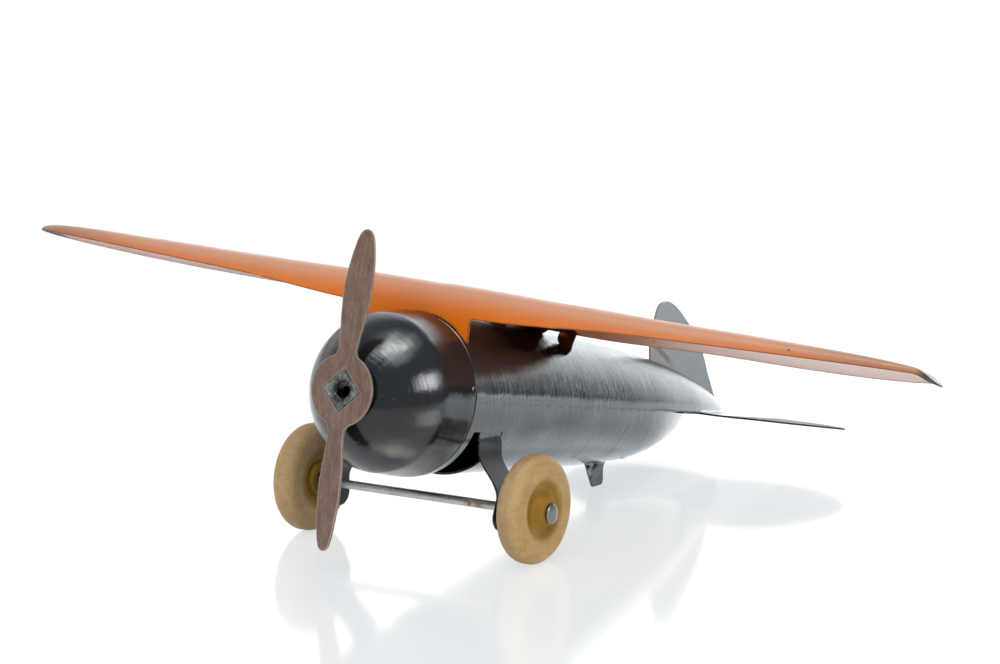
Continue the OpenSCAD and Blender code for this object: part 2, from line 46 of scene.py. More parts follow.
shrink = Matrix.Scale(mm, 4)


def mix(a, b, t):
    return a + (b - a) * t


def ease(t):
    t = min(max(t, 0), 1)
    return t * t * (3 - 2 * t)


# 1 between two places, falling softly to 0 at each within its own reach
def between(value, low, high, lowReach, highReach):
    return ease((value - low) / lowReach) * ease((high - value) / highReach)


# Numbers that pass through every mark, with that many steps between two marks
def spread(marks, counts):
    values = [marks[0]]
    for low, high, count in zip(marks, marks[1:], counts):
        values += [mix(low, high, (k + 1) / count) for k in range(count)]
    return values


# A smooth line through the given points
def flowing(points, steps):
    points = [Vector(p) for p in points]
    last, line = len(points) - 1, []
    for k in range(last):
        a, b, c, d = points[max(k - 1, 0)], points[k], points[k + 1], points[min(k + 2, last)]
        for i in range(steps):
            t = i / steps
            line.append(0.5 * (2 * b + (c - a) * t + (2 * a - 5 * b + 4 * c - d) * t * t
                               + (3 * b - a - 3 * c + d) * t * t * t))
    return line + [points[last]]


def circlePart(middle, radius, start, end, steps):
    turns = [math.radians(mix(start, end, k / steps)) for k in range(steps + 1)]
    return [Vector((middle[0] + radius * math.cos(a), middle[1] + radius * math.sin(a)))
            for a in turns]


# A soft corner from a to c that heads for b on its way
def softCorner(a, b, c, steps):
    shares = [k / steps for k in range(steps + 1)]
    return [a * (1 - t) ** 2 + b * 2 * t * (1 - t) + c * t * t for t in shares]


# A grid of quads, each of whose corners is put where place(column, row) says
def pressedGrid(bm, columns, rows, place):
    bmesh.ops.create_grid(bm, x_segments=columns, y_segments=rows, size=1)
    for vert in bm.verts:
        vert.co = place(round((vert.co.x + 1) / 2 * columns), round((vert.co.y + 1) / 2 * rows))


# Fills closed outlines, holes included, and cuts the sheet into small faces for bending
def flatPlate(bm, loops, cuts):
    for loop in loops:
        verts = [bm.verts.new(p) for p in loop]
        for a, b in zip(verts, verts[1:] + verts[:1]):
            bm.edges.new((a, b))
    bmesh.ops.triangle_fill(bm, use_beauty=True, use_dissolve=False, edges=bm.edges[:])
    for point, normal in cuts:
        bmesh.ops.bisect_plane(bm, geom=bm.verts[:] + bm.edges[:] + bm.faces[:], dist=1e-5,
                               plane_co=point, plane_no=normal)


# Turns a profile of (radius, place along the axis) into a closed turned shape
def spun(bm, profile, steps, axis):
    along = Vector(axis)
    across = Vector((0, 0, 1))
    verts = [bm.verts.new(across * r + along * a) for r, a in profile]
    edges = [bm.edges.new(pair) for pair in zip(verts, verts[1:])]
    bmesh.ops.spin(bm, geom=verts + edges, cent=(0, 0, 0), axis=along, dvec=(0, 0, 0),
                   angle=2 * math.pi, steps=steps, use_merge=True, use_duplicate=False)
    bmesh.ops.remove_doubles(bm, verts=bm.verts[:], dist=1e-4)


# Makes all faces agree, and turns them round if the given test says they look inwards
def faceOutwards(bm, isOutside):
    bmesh.ops.recalc_face_normals(bm, faces=bm.faces[:])
    bm.normal_update()
    votes = sum(face.calc_area() * (1 if isOutside(face) else -1) for face in bm.faces)
    if votes < 0:
        bmesh.ops.reverse_faces(bm, faces=bm.faces[:])


# Whether a face of a sheet round the body's axis looks away from it
def looksOutwards(face):
    return face.normal.dot(face.calc_center_median() * Vector((1, 0, 1))) > 0


# Pushes the sheet in and out a little, as handled tin is, by waves of (amount, size, seed)
def uneven(bm, waves, share):
    for amount, size, seed in waves:
        bm.normal_update()
        for vert in bm.verts:
            wave = noise.noise(vert.co / size + Vector((seed, seed * 2, 0)))
            vert.co += vert.normal * wave * amount * share(vert.co)


# Pulls a row of neighbouring corners on to a new row at place(k), and returns that row
def extrudeRow(bm, row, axis, place):
    edges = [e for a, b in zip(row, row[1:]) for e in a.link_edges if e.other_vert(a) is b]
    made = bmesh.ops.extrude_edge_only(bm, edges=edges)["geom"]
    fresh = sorted([v for v in made if isinstance(v, bmesh.types.BMVert)],
                   key=lambda v: v.co[axis])
    for k, vert in enumerate(fresh):
        vert.co = place(k)
    return fresh


def meshFrom(bm, name):
    mesh = bpy.data.meshes.new(name)
    bm.to_mesh(mesh)
    bm.free()
    return mesh


def intoScene(name, data):
    made = bpy.data.objects.new(name, data)
    bpy.context.scene.collection.objects.link(made)
    return made


# Puts a finished mesh into the scene, riding on its body in place of its CAD nodes
def makePiece(bm, name, finish, body, nodes, matrix=Matrix.Identity(4), sheet=0,
              offset=-1, bevel=0):
    shading = {"smoothBelow": 50, "rimSteps": 2, "rimAbove": 50, "flatWeight": 60}
    bmesh.ops.transform(bm, matrix=shrink @ matrix, verts=bm.verts[:])
    mesh = meshFrom(bm, name)
    mesh.polygons.foreach_set("use_smooth", [True] * len(mesh.polygons))
    mesh.materials.append(finishes[finish])
    piece = intoScene(name, mesh)
    if sheet:
        wall = piece.modifiers.new("sheet", "SOLIDIFY")
        wall.thickness, wall.offset, wall.use_even_offset = sheet * mm, offset, True
    if bevel:
        soft = piece.modifiers.new("rim", "BEVEL")
        soft.width, soft.segments, soft.limit_method = bevel * mm, shading["rimSteps"], "ANGLE"
        soft.angle_limit = math.radians(shading["rimAbove"])
        even = piece.modifiers.new("normals", "WEIGHTED_NORMAL")
        even.mode, even.weight, even.keep_sharp = "FACE_AREA", shading["flatWeight"], True
    else:
        mesh.set_sharp_from_angle(angle=math.radians(shading["smoothBelow"]))
    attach(piece, body)
    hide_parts(*nodes)
    print("made", name, len(mesh.polygons), "faces")


# Sets a node's inputs, each to a value or to a link from a socket
def feed(node, inputs):
    for label, value in inputs.items():
        if isinstance(value, bpy.types.NodeSocket):
            node.id_data.links.new(value, node.inputs[label])
        else:
            node.inputs[label].default_value = value


def addNode(tree, kind, inputs={}, **settings):
    node = tree.nodes.new(kind)
    for key, value in settings.items():
        setattr(node, key, value)
    feed(node, inputs)
    return node


# A node in the tree of the first socket that feeds it
def nodeAfter(kind, inputs, **settings):
    tree = next(value.id_data for value in inputs.values()
                if isinstance(value, bpy.types.NodeSocket))
    return addNode(tree, kind, inputs, **settings)


def maths(operation, *values):
    return nodeAfter("ShaderNodeMath", dict(enumerate(values)), operation=operation).outputs[0]


def times(total, *values):
    for value in values:
        total = maths("MULTIPLY", total, value)
    return total


def plus(total, *values):
    for value in values:
        total = maths("ADD", total, value)
    return total


def minus(a, b):
    return maths("SUBTRACT", a, b)


def vectorMaths(operation, *values):
    node = nodeAfter("ShaderNodeVectorMath", dict(enumerate(values)), operation=operation)
    return node.outputs["Vector" if operation in ("SUBTRACT", "NORMALIZE") else "Value"]


def axes(place):
    return nodeAfter("ShaderNodeSeparateXYZ", {0: place}).outputs[:]


def ranged(value, low, high, to=(0, 1)):
    return nodeAfter("ShaderNodeMapRange", {"Value": value, "From Min": low, "From Max": high,
                                            "To Min": to[0], "To Max": to[1]}).outputs["Result"]


def blended(factor, a, b, blend="MIX"):
    return nodeAfter("ShaderNodeMix", {"Factor": factor, 6: a, 7: b}, data_type="RGBA",
                     blend_type=blend).outputs[2]


# Colours laid over a base one after another, each where its mask says
def painted(base, *coats):
    for mask, coat in coats:
        base = blended(mask, base, coat)
    return base


def cloudy(place, size, detail, rough=0.5, distortion=0.0):
    return nodeAfter("ShaderNodeTexNoise", {
        "Vector": place, "Scale": size, "Detail": detail, "Roughness": rough,
        "Distortion": distortion}).outputs["Fac"]


def mapped(place, middle=(0, 0, 0), turn=(0, 0, 0), scale=(1, 1, 1)):
    return nodeAfter("ShaderNodeMapping", {"Vector": place, "Location": middle, "Rotation": turn,
                                           "Scale": scale}).outputs[0]


def bumped(height, strength, distance):
    return nodeAfter("ShaderNodeBump", {"Height": height, "Strength": strength,
                                        "Distance": distance}).outputs[0]


def colour(r, g, b):
    return (r, g, b, 1)


# Where a sheet's edges and corners have rubbed bare, in broken patches
def edgeWear(given):
    tree = given["Place"].id_data
    rounded = addNode(tree, "ShaderNodeBevel", {"Radius": given["Reach"]}, samples=6).outputs[0]
    flat = addNode(tree, "ShaderNodeNewGeometry").outputs["Normal"]
    edge = ranged(vectorMaths("DOT_PRODUCT", rounded, flat), 0.995, 0.8)
    patch = cloudy(given["Place"], given["Patch"], 4.0, 0.65)
    whole = minus(1.0, given["Amount"])
    return {"Mask": times(edge, ranged(patch, minus(whole, 0.12), whole))}


# Small ragged chips and dirt specks, scattered in loose clusters
def specks(given):
    grains = cloudy(given["Place"], given["Size"], 5.0, 0.72)
    clusters = cloudy(given["Place"], 38.0, 3.0, 0.6)
    nearby = ranged(clusters, 0.4, 0.75, (-0.06, 0.06))
    low = minus(0.76, plus(times(given["Share"], 0.3), nearby))
    return {"Mask": ranged(grains, low, plus(low, 0.035))}


# Fine drawn or scratched lines, long in one direction of the given place
def hairlines(given):
    lines = cloudy(given["Place"], 1.0, 5.0, 0.7)
    low = minus(0.78, times(given["Amount"], 0.2))
    return {"Mask": ranged(lines, low, plus(low, 0.06)), "Height": lines}


# Broad cloudy variation with a finer layer over it, from 0 to 1
def mottle(given):
    broad = cloudy(given["Place"], given["Size"], 3.0, distortion=0.4)
    fine = cloudy(given["Place"], times(given["Size"], 9.0), 4.0, 0.7)
    both = nodeAfter("ShaderNodeMix", {"Factor": given["Fine"], 2: broad, 3: fine}).outputs[0]
    return {"Value": ranged(both, 0.3, 0.7)}


def makeGroup(build, amounts, results):
    tree = bpy.data.node_groups.new(build.__name__, "ShaderNodeTree")
    tree.interface.new_socket("Place", in_out="INPUT", socket_type="NodeSocketVector")
    for label, value in amounts.items():
        socket = tree.interface.new_socket(label, in_out="INPUT", socket_type="NodeSocketFloat")
        socket.default_value = value
    for label in results:
        tree.interface.new_socket(label, in_out="OUTPUT", socket_type="NodeSocketFloat")
    given, result = tree.nodes.new("NodeGroupInput"), tree.nodes.new("NodeGroupOutput")
    feed(result, build(given.outputs))
    return tree


groups = {
    "edgeWear": makeGroup(edgeWear, {"Reach": 0.0006, "Patch": 300.0, "Amount": 0.5}, ["Mask"]),
    "specks": makeGroup(specks, {"Size": 120.0, "Share": 0.1}, ["Mask"]),
    "hairlines": makeGroup(hairlines, {"Amount": 0.5}, ["Mask", "Height"]),
    "mottle": makeGroup(mottle, {"Size": 40.0, "Fine": 0.3}, ["Value"]),
}


# The outputs of a group that is placed with the given amounts, or its only output
def useGroup(name, place, **amounts):
    inputs = {"Place": place, **{key.title(): value for key, value in amounts.items()}}
    outputs = nodeAfter("ShaderNodeGroup", inputs, node_tree=groups[name]).outputs[:]
    return outputs if len(outputs) > 1 else outputs[0]


# A Principled material, its object coordinates, and these moved, turned and stretched
def startMaterial(name, middle=(0, 0, 0), turn=(0, 0, 0), scale=(1, 1, 1)):
    material = bpy.data.materials.new(name)
    material.use_nodes = True
    place = addNode(material.node_tree, "ShaderNodeTexCoord").outputs["Object"]
    surface = material.node_tree.nodes["Principled BSDF"]
    return material, surface, place, mapped(mapped(place, middle), turn=turn, scale=scale)


# How far along the body's axis a place is
def alongAxis(place):
    a = math.radians(stance["noseUp"])
    fromHub = vectorMaths("SUBTRACT", place, Vector(stance["hub"]) * mm)
    return vectorMaths("DOT_PRODUCT", fromHub, (0, math.cos(a), -math.sin(a)))


def blackEnamel(name="blackEnamel", paint=(0.009, 0.009, 0.011), footMarked=False):
    look = {"paint": colour(*paint), "dust": colour(0.09, 0.085, 0.08), "ior": 1.54,
            "bare": colour(0.17, 0.16, 0.15), "leg": colour(0.015, 0.015, 0.0155),
            "foot": colour(0.3, 0.24, 0.19), "line": colour(0.015, 0.03, 0.05),
            "slant": (0, 0.607, 0.794), "slantAt": 0.08547,
            "legOut": (0.024, 0.026), "legBelow": (0.042, 0.036),
            "brownBelow": (0, -0.0014), "brownFront": (0.1, 0.09),
            "lineHalf": (0.0016, 0.0006), "lineFront": (0.094, 0.088),
            "marks": [(0.1262, 0.018, 0.03), (0.1497, 0.015, 0.029)],
            "markHalf": (0.0005, 0.0003), "markOut": (0.014, 0.015), "dentRadius": 0.0008,
            "dents": [(0.0274, -0.0468, 0.0546), (0.0279, -0.047, 0.0519),
                      (0.0284, -0.0829, 0.0603), (0.0169, -0.1136, 0.0602),
                      (0.0131, -0.116, 0.061)]}
    material, surface, place, rings = startMaterial(
        name, turn=(math.radians(stance["noseUp"]), 0, 0), scale=(16, 1100, 16))
    # Marks of the pressing run round the body; later hair scratches run in every direction
    drawn, drawnHeight = useGroup("hairlines", rings, amount=0.55)
    crossing = mapped(place, turn=(0.9, 0.4, 0.7), scale=(60, 1500, 300))
    hairs, hairHeight = useGroup("hairlines", crossing, amount=0.35)
    smudge = useGroup("mottle", place, size=38.0, fine=0.35)
    grain = cloudy(place, 520.0, 4.0)
    dirt = useGroup("specks", place, size=420.0, share=0.16)
    wear = useGroup("edgeWear", place, reach=0.0005, patch=260.0, amount=0.45)
    lines = plus(drawn, hairs)
    x, y, z = axes(place)
    # Two scratches across the belly on the left, given by place along the axis and heights
    along = plus(alongAxis(place), times(grain, 0.0004))
    scratched = 0.0
    for at, low, high in look["marks"]:
        across = maths("ABSOLUTE", minus(along, at))
        mark = times(ranged(across, *look["markHalf"]), ranged(z, high, high - 0.005),
                     ranged(z, low, low + 0.003), ranged(x, *look["markOut"]))
        scratched = maths("MAXIMUM", scratched, mark)
    # The legs have lost their gloss
    leg = times(ranged(maths("ABSOLUTE", x), *look["legOut"]), ranged(z, *look["legBelow"]))
    base = painted(look["paint"], (times(lines, 0.4), look["dust"]),
                   (times(leg, smudge), look["leg"]), (times(dirt, 0.8), look["bare"]),
                   (wear, look["bare"]))
    if footMarked:
        # The fin's foot is brown below a slanting line, and the dark line itself is a painted
        # reflection
        past = plus(minus(vectorMaths("DOT_PRODUCT", place, look["slant"]), look["slantAt"]),
                    ranged(grain, 0, 1, (-0.0004, 0.0004)))
        browned = times(ranged(past, *look["brownBelow"]), ranged(y, *look["brownFront"]), 0.8)
        # Painted reflection: the dark blue slanting line stands for a dark band mirrored in the
        # glossy fin
        line = times(ranged(maths("ABSOLUTE", past), *look["lineHalf"]),
                     ranged(y, *look["lineFront"]), 0.95)
        base = painted(base, (browned, look["foot"]), (line, look["line"]))
    # Bare, darkened steel on the legs and in the scratches reflects less than the enamel
    metal = maths("MAXIMUM", times(leg, 0.75), times(scratched, 0.85))
    rough = plus(ranged(smudge, 0, 1, (0.03, 0.12)), times(lines, 0.15),
                 times(plus(wear, leg), 0.35))
    height = plus(times(drawnHeight, 1.35), smudge, times(hairHeight, 0.25), times(grain, 0.3),
                  times(scratched, -3.0))
    # Small dents that catch the light
    for dent in look["dents"]:
        away = vectorMaths("DISTANCE", place, dent)
        height = plus(height, ranged(away, look["dentRadius"], 0.0, (0, -5.0)))
    feed(surface, {"Base Color": base, "Metallic": metal, "Roughness": rough,
                   "IOR": look["ior"], "Normal": bumped(height, 0.4, 0.0002)})
    return material


def orangeEnamel():
    # Among these colours, the pale salmon is partly a painted sheen, the pale pink is painted
    # light from below, and the deep red-brown is painted shade
    look = {"paint": colour(0.84, 0.18, 0.001), "patchy": colour(0.84, 0.2, 0.006),
            "fadedAndSheen": colour(0.74, 0.37, 0.235), "dull": colour(0.36, 0.2, 0.13),
            "under": colour(0.52, 0.41, 0.37), "tabShade": colour(0.075, 0.012, 0.005),
            "chip": colour(0.05, 0.035, 0.03), "ior": 1.33,
            "fadeAndSheenUp": (0.26, 0.84, (0, 0.85)), "fadeAndSheenOut": (0.026, 0.1, (0, 0.3)),
            "fadeAndSheenAbove": (-0.3, 0.05), "dullOut": (0.13, 0.17, (0, 0.6)),
            "dullAbove": (-0.1, 0.1), "underOut": (0.0, 0.12, (0.35, 0.75)),
            "underBelow": (-0.1, -0.5), "tabIn": (0.0205, 0.0195), "tabBack": (-0.03, -0.022),
            "tabSteep": (0.64, 0.48), "tips": (0.1835, 0.1865)}
    material, surface, place, streaks = startMaterial("orangeEnamel", scale=(6, 220, 60))
    cloud = useGroup("mottle", place, size=26.0, fine=0.4)
    dirt = useGroup("specks", place, size=330.0, share=0.2)
    wear = useGroup("edgeWear", place, reach=0.0012, patch=150.0, amount=0.58)
    rub, _ = useGroup("hairlines", streaks, amount=0.3)
    x, y, _ = axes(place)
    out = maths("ABSOLUTE", x)
    up = axes(addNode(place.id_data, "ShaderNodeNewGeometry").outputs["Normal"])[2]
    # The paint has faded on the surfaces that face up or far out, and the pale salmon there is
    # also a painted sheen, standing for the whitish reflection these surfaces show
    fadeAndSheen = plus(ranged(up, *look["fadeAndSheenUp"]), ranged(out, *look["fadeAndSheenOut"]))
    fadeAndSheen = times(maths("MINIMUM", fadeAndSheen, 0.9), ranged(up, *look["fadeAndSheenAbove"]))
    dull = times(ranged(out, *look["dullOut"]), ranged(up, *look["dullAbove"]))
    # Painted light: surfaces that face down are lightened to pale pink, more so towards the tips,
    # to stand for light from the white floor below
    under = times(ranged(out, *look["underOut"]), ranged(up, *look["underBelow"]))
    # Painted shade: the rear tabs, which sit in the wing's shadow, are darkened to a deep
    # red-brown. The tips are worn to the steel by rubbing
    shadedTabs = times(ranged(out, *look["tabIn"]), ranged(y, *look["tabBack"]),
                    ranged(up, *look["tabSteep"]))
    base = painted(look["paint"], (cloud, look["patchy"]), (fadeAndSheen, look["fadedAndSheen"]),
                   (dull, look["dull"]), (under, look["under"]), (shadedTabs, look["tabShade"]))
    for bare in (ranged(out, *look["tips"]), times(rub, 0.25), dirt, wear):
        base = blended(bare, base, look["chip"])
    rough = plus(ranged(cloud, 0, 1, (0.24, 0.4)), times(wear, 0.3))
    height = minus(times(cloud, 0.6), plus(wear, dirt))
    feed(surface, {"Base Color": base, "Roughness": rough, "IOR": look["ior"],
                   "Normal": bumped(height, 0.3, 0.00015)})
    return material


def rustedSheet():
    look = {"brown": colour(0.185, 0.1, 0.07), "pale": colour(0.30, 0.2, 0.155),
            "dark": colour(0.085, 0.052, 0.042), "red": colour(0.15, 0.05, 0.03),
            "bare": colour(0.5, 0.42, 0.36)}
    material, surface, place, along = startMaterial("rustedSheet", scale=(1100, 300, 130))
    broad = useGroup("mottle", place, size=70.0, fine=0.45)
    blotch = useGroup("mottle", place, size=230.0, fine=0.5)
    _, streaks = useGroup("hairlines", along, amount=0.5)
    dirt = useGroup("specks", place, size=520.0, share=0.3)
    wear = useGroup("edgeWear", place, reach=0.0009, patch=120.0, amount=0.68)
    base = painted(look["brown"], (broad, look["pale"]),
                   (ranged(streaks, 0.42, 0.62, (0, 0.55)), look["dark"]),
                   (ranged(blotch, 0.55, 0.95, (0, 0.75)), look["red"]),
                   (times(dirt, 0.6), look["bare"]), (wear, look["bare"]))
    feed(surface, {"Base Color": base, "Metallic": plus(times(wear, 0.6), 0.12),
                   "Roughness": ranged(blotch, 0, 1, (0.32, 0.62)),
                   "Normal": bumped(minus(blotch, dirt), 0.45, 0.00012)})
    return material


# Plain steel, from bright to rusty, with painted shade in a bore from the given depth on
def steel(name, pale, dark, rust, rustShare, inside=None):
    material, surface, place, turned = startMaterial(name, scale=(90, 700, 700))
    cloud = useGroup("mottle", place, size=160.0, fine=0.5)
    patches = useGroup("mottle", place, size=75.0, fine=0.35)
    _, lines = useGroup("hairlines", turned, amount=0.5)
    share = ranged(patches, 1 - rustShare, 1.15 - rustShare)
    base = painted(colour(*dark), (cloud, colour(*pale)), (share, colour(*rust)))
    metal = ranged(share, 0, 1, (0.85, 0.1))
    if inside is not None:
        # Painted shade: from the given depth on, the bore is darkened to near black and loses its
        # metal
        boreShade = ranged(alongAxis(place), inside, inside + 0.0006)
        base = blended(boreShade, base, colour(0.004, 0.004, 0.004))
        metal = times(metal, minus(1.0, boreShade))
    rough = plus(ranged(cloud, 0, 1, (0.28, 0.45)), times(share, 0.3))
    feed(surface, {"Base Color": base, "Metallic": metal, "Roughness": rough,
                   "Normal": bumped(plus(cloud, lines), 0.3, 0.0001)})
    return material


def turnedWood():
    look = {"tread": colour(0.52, 0.355, 0.185), "face": colour(0.64, 0.44, 0.18),
            "dish": colour(0.385, 0.205, 0.016), "dark": colour(0.2, 0.105, 0.022), "ior": 1.3,
            "faceOut": (0.0475, 0.0505), "dishWithin": (0.0118, 0.0095)}
    middle = (0, -stance["axle"][1] * mm, -stance["wheelMiddle"] * mm)
    material, surface, place, fibres = startMaterial("turnedWood", middle, scale=(420, 70, 420))
    x, y, z = axes(mapped(place, middle))
    radius = vectorMaths("LENGTH", nodeAfter("ShaderNodeCombineXYZ", {1: y, 2: z}).outputs[0])
    turning = cloudy(nodeAfter("ShaderNodeCombineXYZ", {0: radius, 1: x}).outputs[0], 1400.0, 3.0)
    _, grain = useGroup("hairlines", fibres, amount=0.8)
    cloud = useGroup("mottle", place, size=95.0, fine=0.45)
    dirt = useGroup("specks", place, size=260.0, share=0.12)
    face = ranged(maths("ABSOLUTE", x), *look["faceOut"])
    base = painted(look["tread"], (face, look["face"]),
                   (ranged(radius, *look["dishWithin"]), look["dish"]))
    base = blended(ranged(cloud, 0.2, 1, (0, 0.35)), base, look["dark"], "MULTIPLY")
    base = painted(base, (times(ranged(grain, 0.5, 0.75), 0.3), look["dark"]),
                   (times(dirt, 0.5), look["dark"]))
    height = plus(turning, times(grain, 0.8))
    feed(surface, {"Base Color": base, "Roughness": ranged(cloud, 0, 1, (0.42, 0.6)),
                   "IOR": look["ior"], "Normal": bumped(height, 0.35, 0.0001)})
    return material


finishes = {
    "black": blackEnamel(),
    # Painted reflection: the fin's black enamel is made pale grey-blue to stand for the bright
    # backdrop mirrored in its glossy side
    "fin": blackEnamel("finEnamel", (0.25, 0.28, 0.295), footMarked=True),
    "orange": orangeEnamel(),
    "rusted": rustedSheet(),
    "worn": steel("wornSteel", (0.42, 0.41, 0.39), (0.13, 0.12, 0.11), (0.14, 0.085, 0.05), 0.32),
    # The rivet's bore is darkened as painted shade
    "rivet": steel("rivetSteel", (0.5, 0.5, 0.48), (0.06, 0.06, 0.058), (0.08, 0.05, 0.03), 0.4,
                   inside=-0.0005),
    "bright": steel("brightSteel", (0.24, 0.24, 0.238), (0.11, 0.11, 0.108),
                    (0.15, 0.135, 0.12), 0.2),
    "axle": steel("axleSteel", (0.62, 0.6, 0.56), (0.36, 0.33, 0.3), (0.25, 0.17, 0.12), 0.35),
    "skid": steel("skidSheet", (0.3, 0.305, 0.31), (0.17, 0.17, 0.175), (0.22, 0.15, 0.12), 0.42),
    "wood": turnedWood(),
}
print("finishes made:", ", ".join(finishes))

hull = {"radius": 28.8, "taper": 0.052, "rim": 38.4, "spineEnd": 252, "spineEndRadius": 2.2,
        "tailPower": 5.2, "bellyTurn": 170, "bellyEnd": 224, "bellyPower": 1.9, "sheet": 0.7,
        "lipFrom": 30, "lipIn": 0.71, "crease": 22, "creaseRadius": 27.72, "bevel": 0.07}


def upperRadius(s):
    length = hull["spineEnd"] - hull["rim"]
    t = max(s - hull["rim"], 0) / length
    drop = hull["radius"] - hull["taper"] * length - hull["spineEndRadius"]
    return hull["radius"] - hull["taper"] * length * t - drop * t ** hull["tailPower"]


def lowerRadius(s):
    part = max(s - hull["bellyTurn"], 0) / (hull["bellyEnd"] - hull["bellyTurn"])
    return upperRadius(s) * math.sqrt(max(1 - part ** hull["bellyPower"], 0))


def lipRadius(s):
    along = (s - hull["crease"]) / (hull["rim"] - hull["crease"])
    return mix(hull["creaseRadius"], hull["radius"], along) - hull["lipIn"]


# The lip inside the nose cap, a small step outwards, then the body itself
def shellRadius(s, lower):
    body = lowerRadius(s) if lower else upperRadius(s)
    return mix(lipRadius(s), body, ease((s - hull["rim"] - 0.15) / 0.7))


def makeNoseCap():
    cap = {"padFront": 2.25, "padRadius": 6.5, "hole": 3.5, "domeRadius": 29,
           "domeMiddle": 30.51, "creaseTurn": 2.2, "creaseReach": 0.09, "sheet": 0.6,
           "bevel": 0.14, "steps": 144, "domeSteps": 44, "skirtSteps": 12,
           "wavy": (4, hull["rim"], 8, 3), "waves": [(0.10, 13, 3.1), (0.03, 4, 1.7)]}
    start = -90 + math.degrees(math.asin(cap["padRadius"] / cap["domeRadius"]))
    end = -90 + math.degrees(math.asin(hull["creaseRadius"] / cap["domeRadius"]))
    dome = circlePart((0, cap["domeMiddle"]), cap["domeRadius"], start,
                      end - cap["creaseTurn"], cap["domeSteps"])
    corner = Vector((hull["creaseRadius"], hull["crease"]))
    edge = Vector((hull["radius"], hull["rim"]))
    after = corner.lerp(edge, cap["creaseReach"])
    crease = softCorner(dome[-1], corner, after, 5)[1:]
    skirt = [after.lerp(edge, t) for t in spread([0, 1], [cap["skirtSteps"]])[1:]]
    pad = [Vector((r, cap["padFront"])) for r in spread([cap["hole"], cap["padRadius"]], [3])[:-1]]
    bm = bmesh.new()
    spun(bm, pad + dome + crease + skirt, cap["steps"], (0, 1, 0))
    faceOutwards(bm, looksOutwards)
    uneven(bm, cap["waves"], lambda co: between(co.y, *cap["wavy"]))
    makePiece(bm, "noseCapPressing", "black", "airframe", ["nose_cap"], toFloor,
              sheet=cap["sheet"], bevel=cap["bevel"])


makeNoseCap()


def makeUpperShell():
    shell = {"seamGap": 0.05, "rootRound": 1.1, "rootFrom": 211, "around": 84,
             "marks": [hull["lipFrom"], 38.2, 39.4, 60, 200, 240, 251.4, hull["spineEnd"]],
             "counts": [5, 8, 10, 56, 26, 14, 2], "wavy": (41, 236, 8, 20),
             "waves": [(0.16, 17, 5.3), (0.045, 5, 2.9)]}
    # The tail's edge is given as (out, aft of its front)
    tail = {"front": 212, "rootFront": 197, "underSpine": 0.15, "bend": 0.5, "grid": (7, 4),
            "hole": [198, 222, 224, 250.4], "holeCounts": [8, 3, 10],
            "edge": [(10.89, 0.6), (25.41, 0), (39.93, 4.3), (52.03, 12.9), (58.9875, 22.36),
                     (60.5, 29.24), (57.7775, 34.4), (48.4, 39.99), (35.09, 43), (16.94, 43),
                     (8.47, 41.4), (4.235, 40.5)]}
    rows = spread(shell["marks"], shell["counts"])

    def place(column, row):
        s = rows[row]
        angle = math.pi * column / shell["around"]
        r = shellRadius(s, False)
        n = r * math.sin(angle)
        x = r * math.cos(angle)
        flare = ease((s - shell["rootFrom"]) / 3) * shell["rootRound"]
        if flare > 0.05 and n < flare:
            x += math.copysign(flare - math.sqrt(flare ** 2 - (flare - n) ** 2), x)
        return Vector((x, s, n + shell["seamGap"]))

    bm = bmesh.new()
    pressedGrid(bm, shell["around"], len(rows) - 1, place)
    faceOutwards(bm, looksOutwards)
    uneven(bm, shell["waves"], lambda co: between(co.y, *shell["wavy"]))
    # The flat sheet of the tailplane, open under the spine and over the belly
    edge = flowing([(out, tail["front"] + aft) for out, aft in tail["edge"]], 5)
    root = spread([tail["rootFront"], edge[0].y - 0.5], [7])
    right = [Vector((upperRadius(s) - tail["underSpine"], s)) for s in root] + edge
    hole = [Vector((max((lowerRadius if s < 223 else upperRadius)(s) - hull["sheet"], 0), s))
            for s in spread(tail["hole"], tail["holeCounts"])]
    loops = [[(p.x, p.y, 0) for p in line] + [(-p.x, p.y, 0) for p in reversed(line)]
             for line in (right, hole)]
    plate = bmesh.new()
    cuts = [((0, y, 0), (0, 1, 0)) for y in range(200, 255, tail["grid"][1])]
    cuts += [((x, 0, 0), (1, 0, 0)) for x in range(-56, 57, tail["grid"][0])]
    flatPlate(plate, loops, cuts)
    faceOutwards(plate, lambda face: face.normal.z > 0)
    # Tin this thin is never quite flat
    for vert in plate.verts:
        free = ease((abs(vert.co.x) - 14) / 40)
        vert.co.z += free * tail["bend"] * noise.noise(vert.co / 26 + Vector((4, 1, 0)))
    mesh = meshFrom(plate, "plate")
    bm.from_mesh(mesh)
    bpy.data.meshes.remove(mesh)
    makePiece(bm, "upperShellPressing", "black", "airframe", ["upper_shell"],
              toFloor, sheet=hull["sheet"], bevel=hull["bevel"])


makeUpperShell()


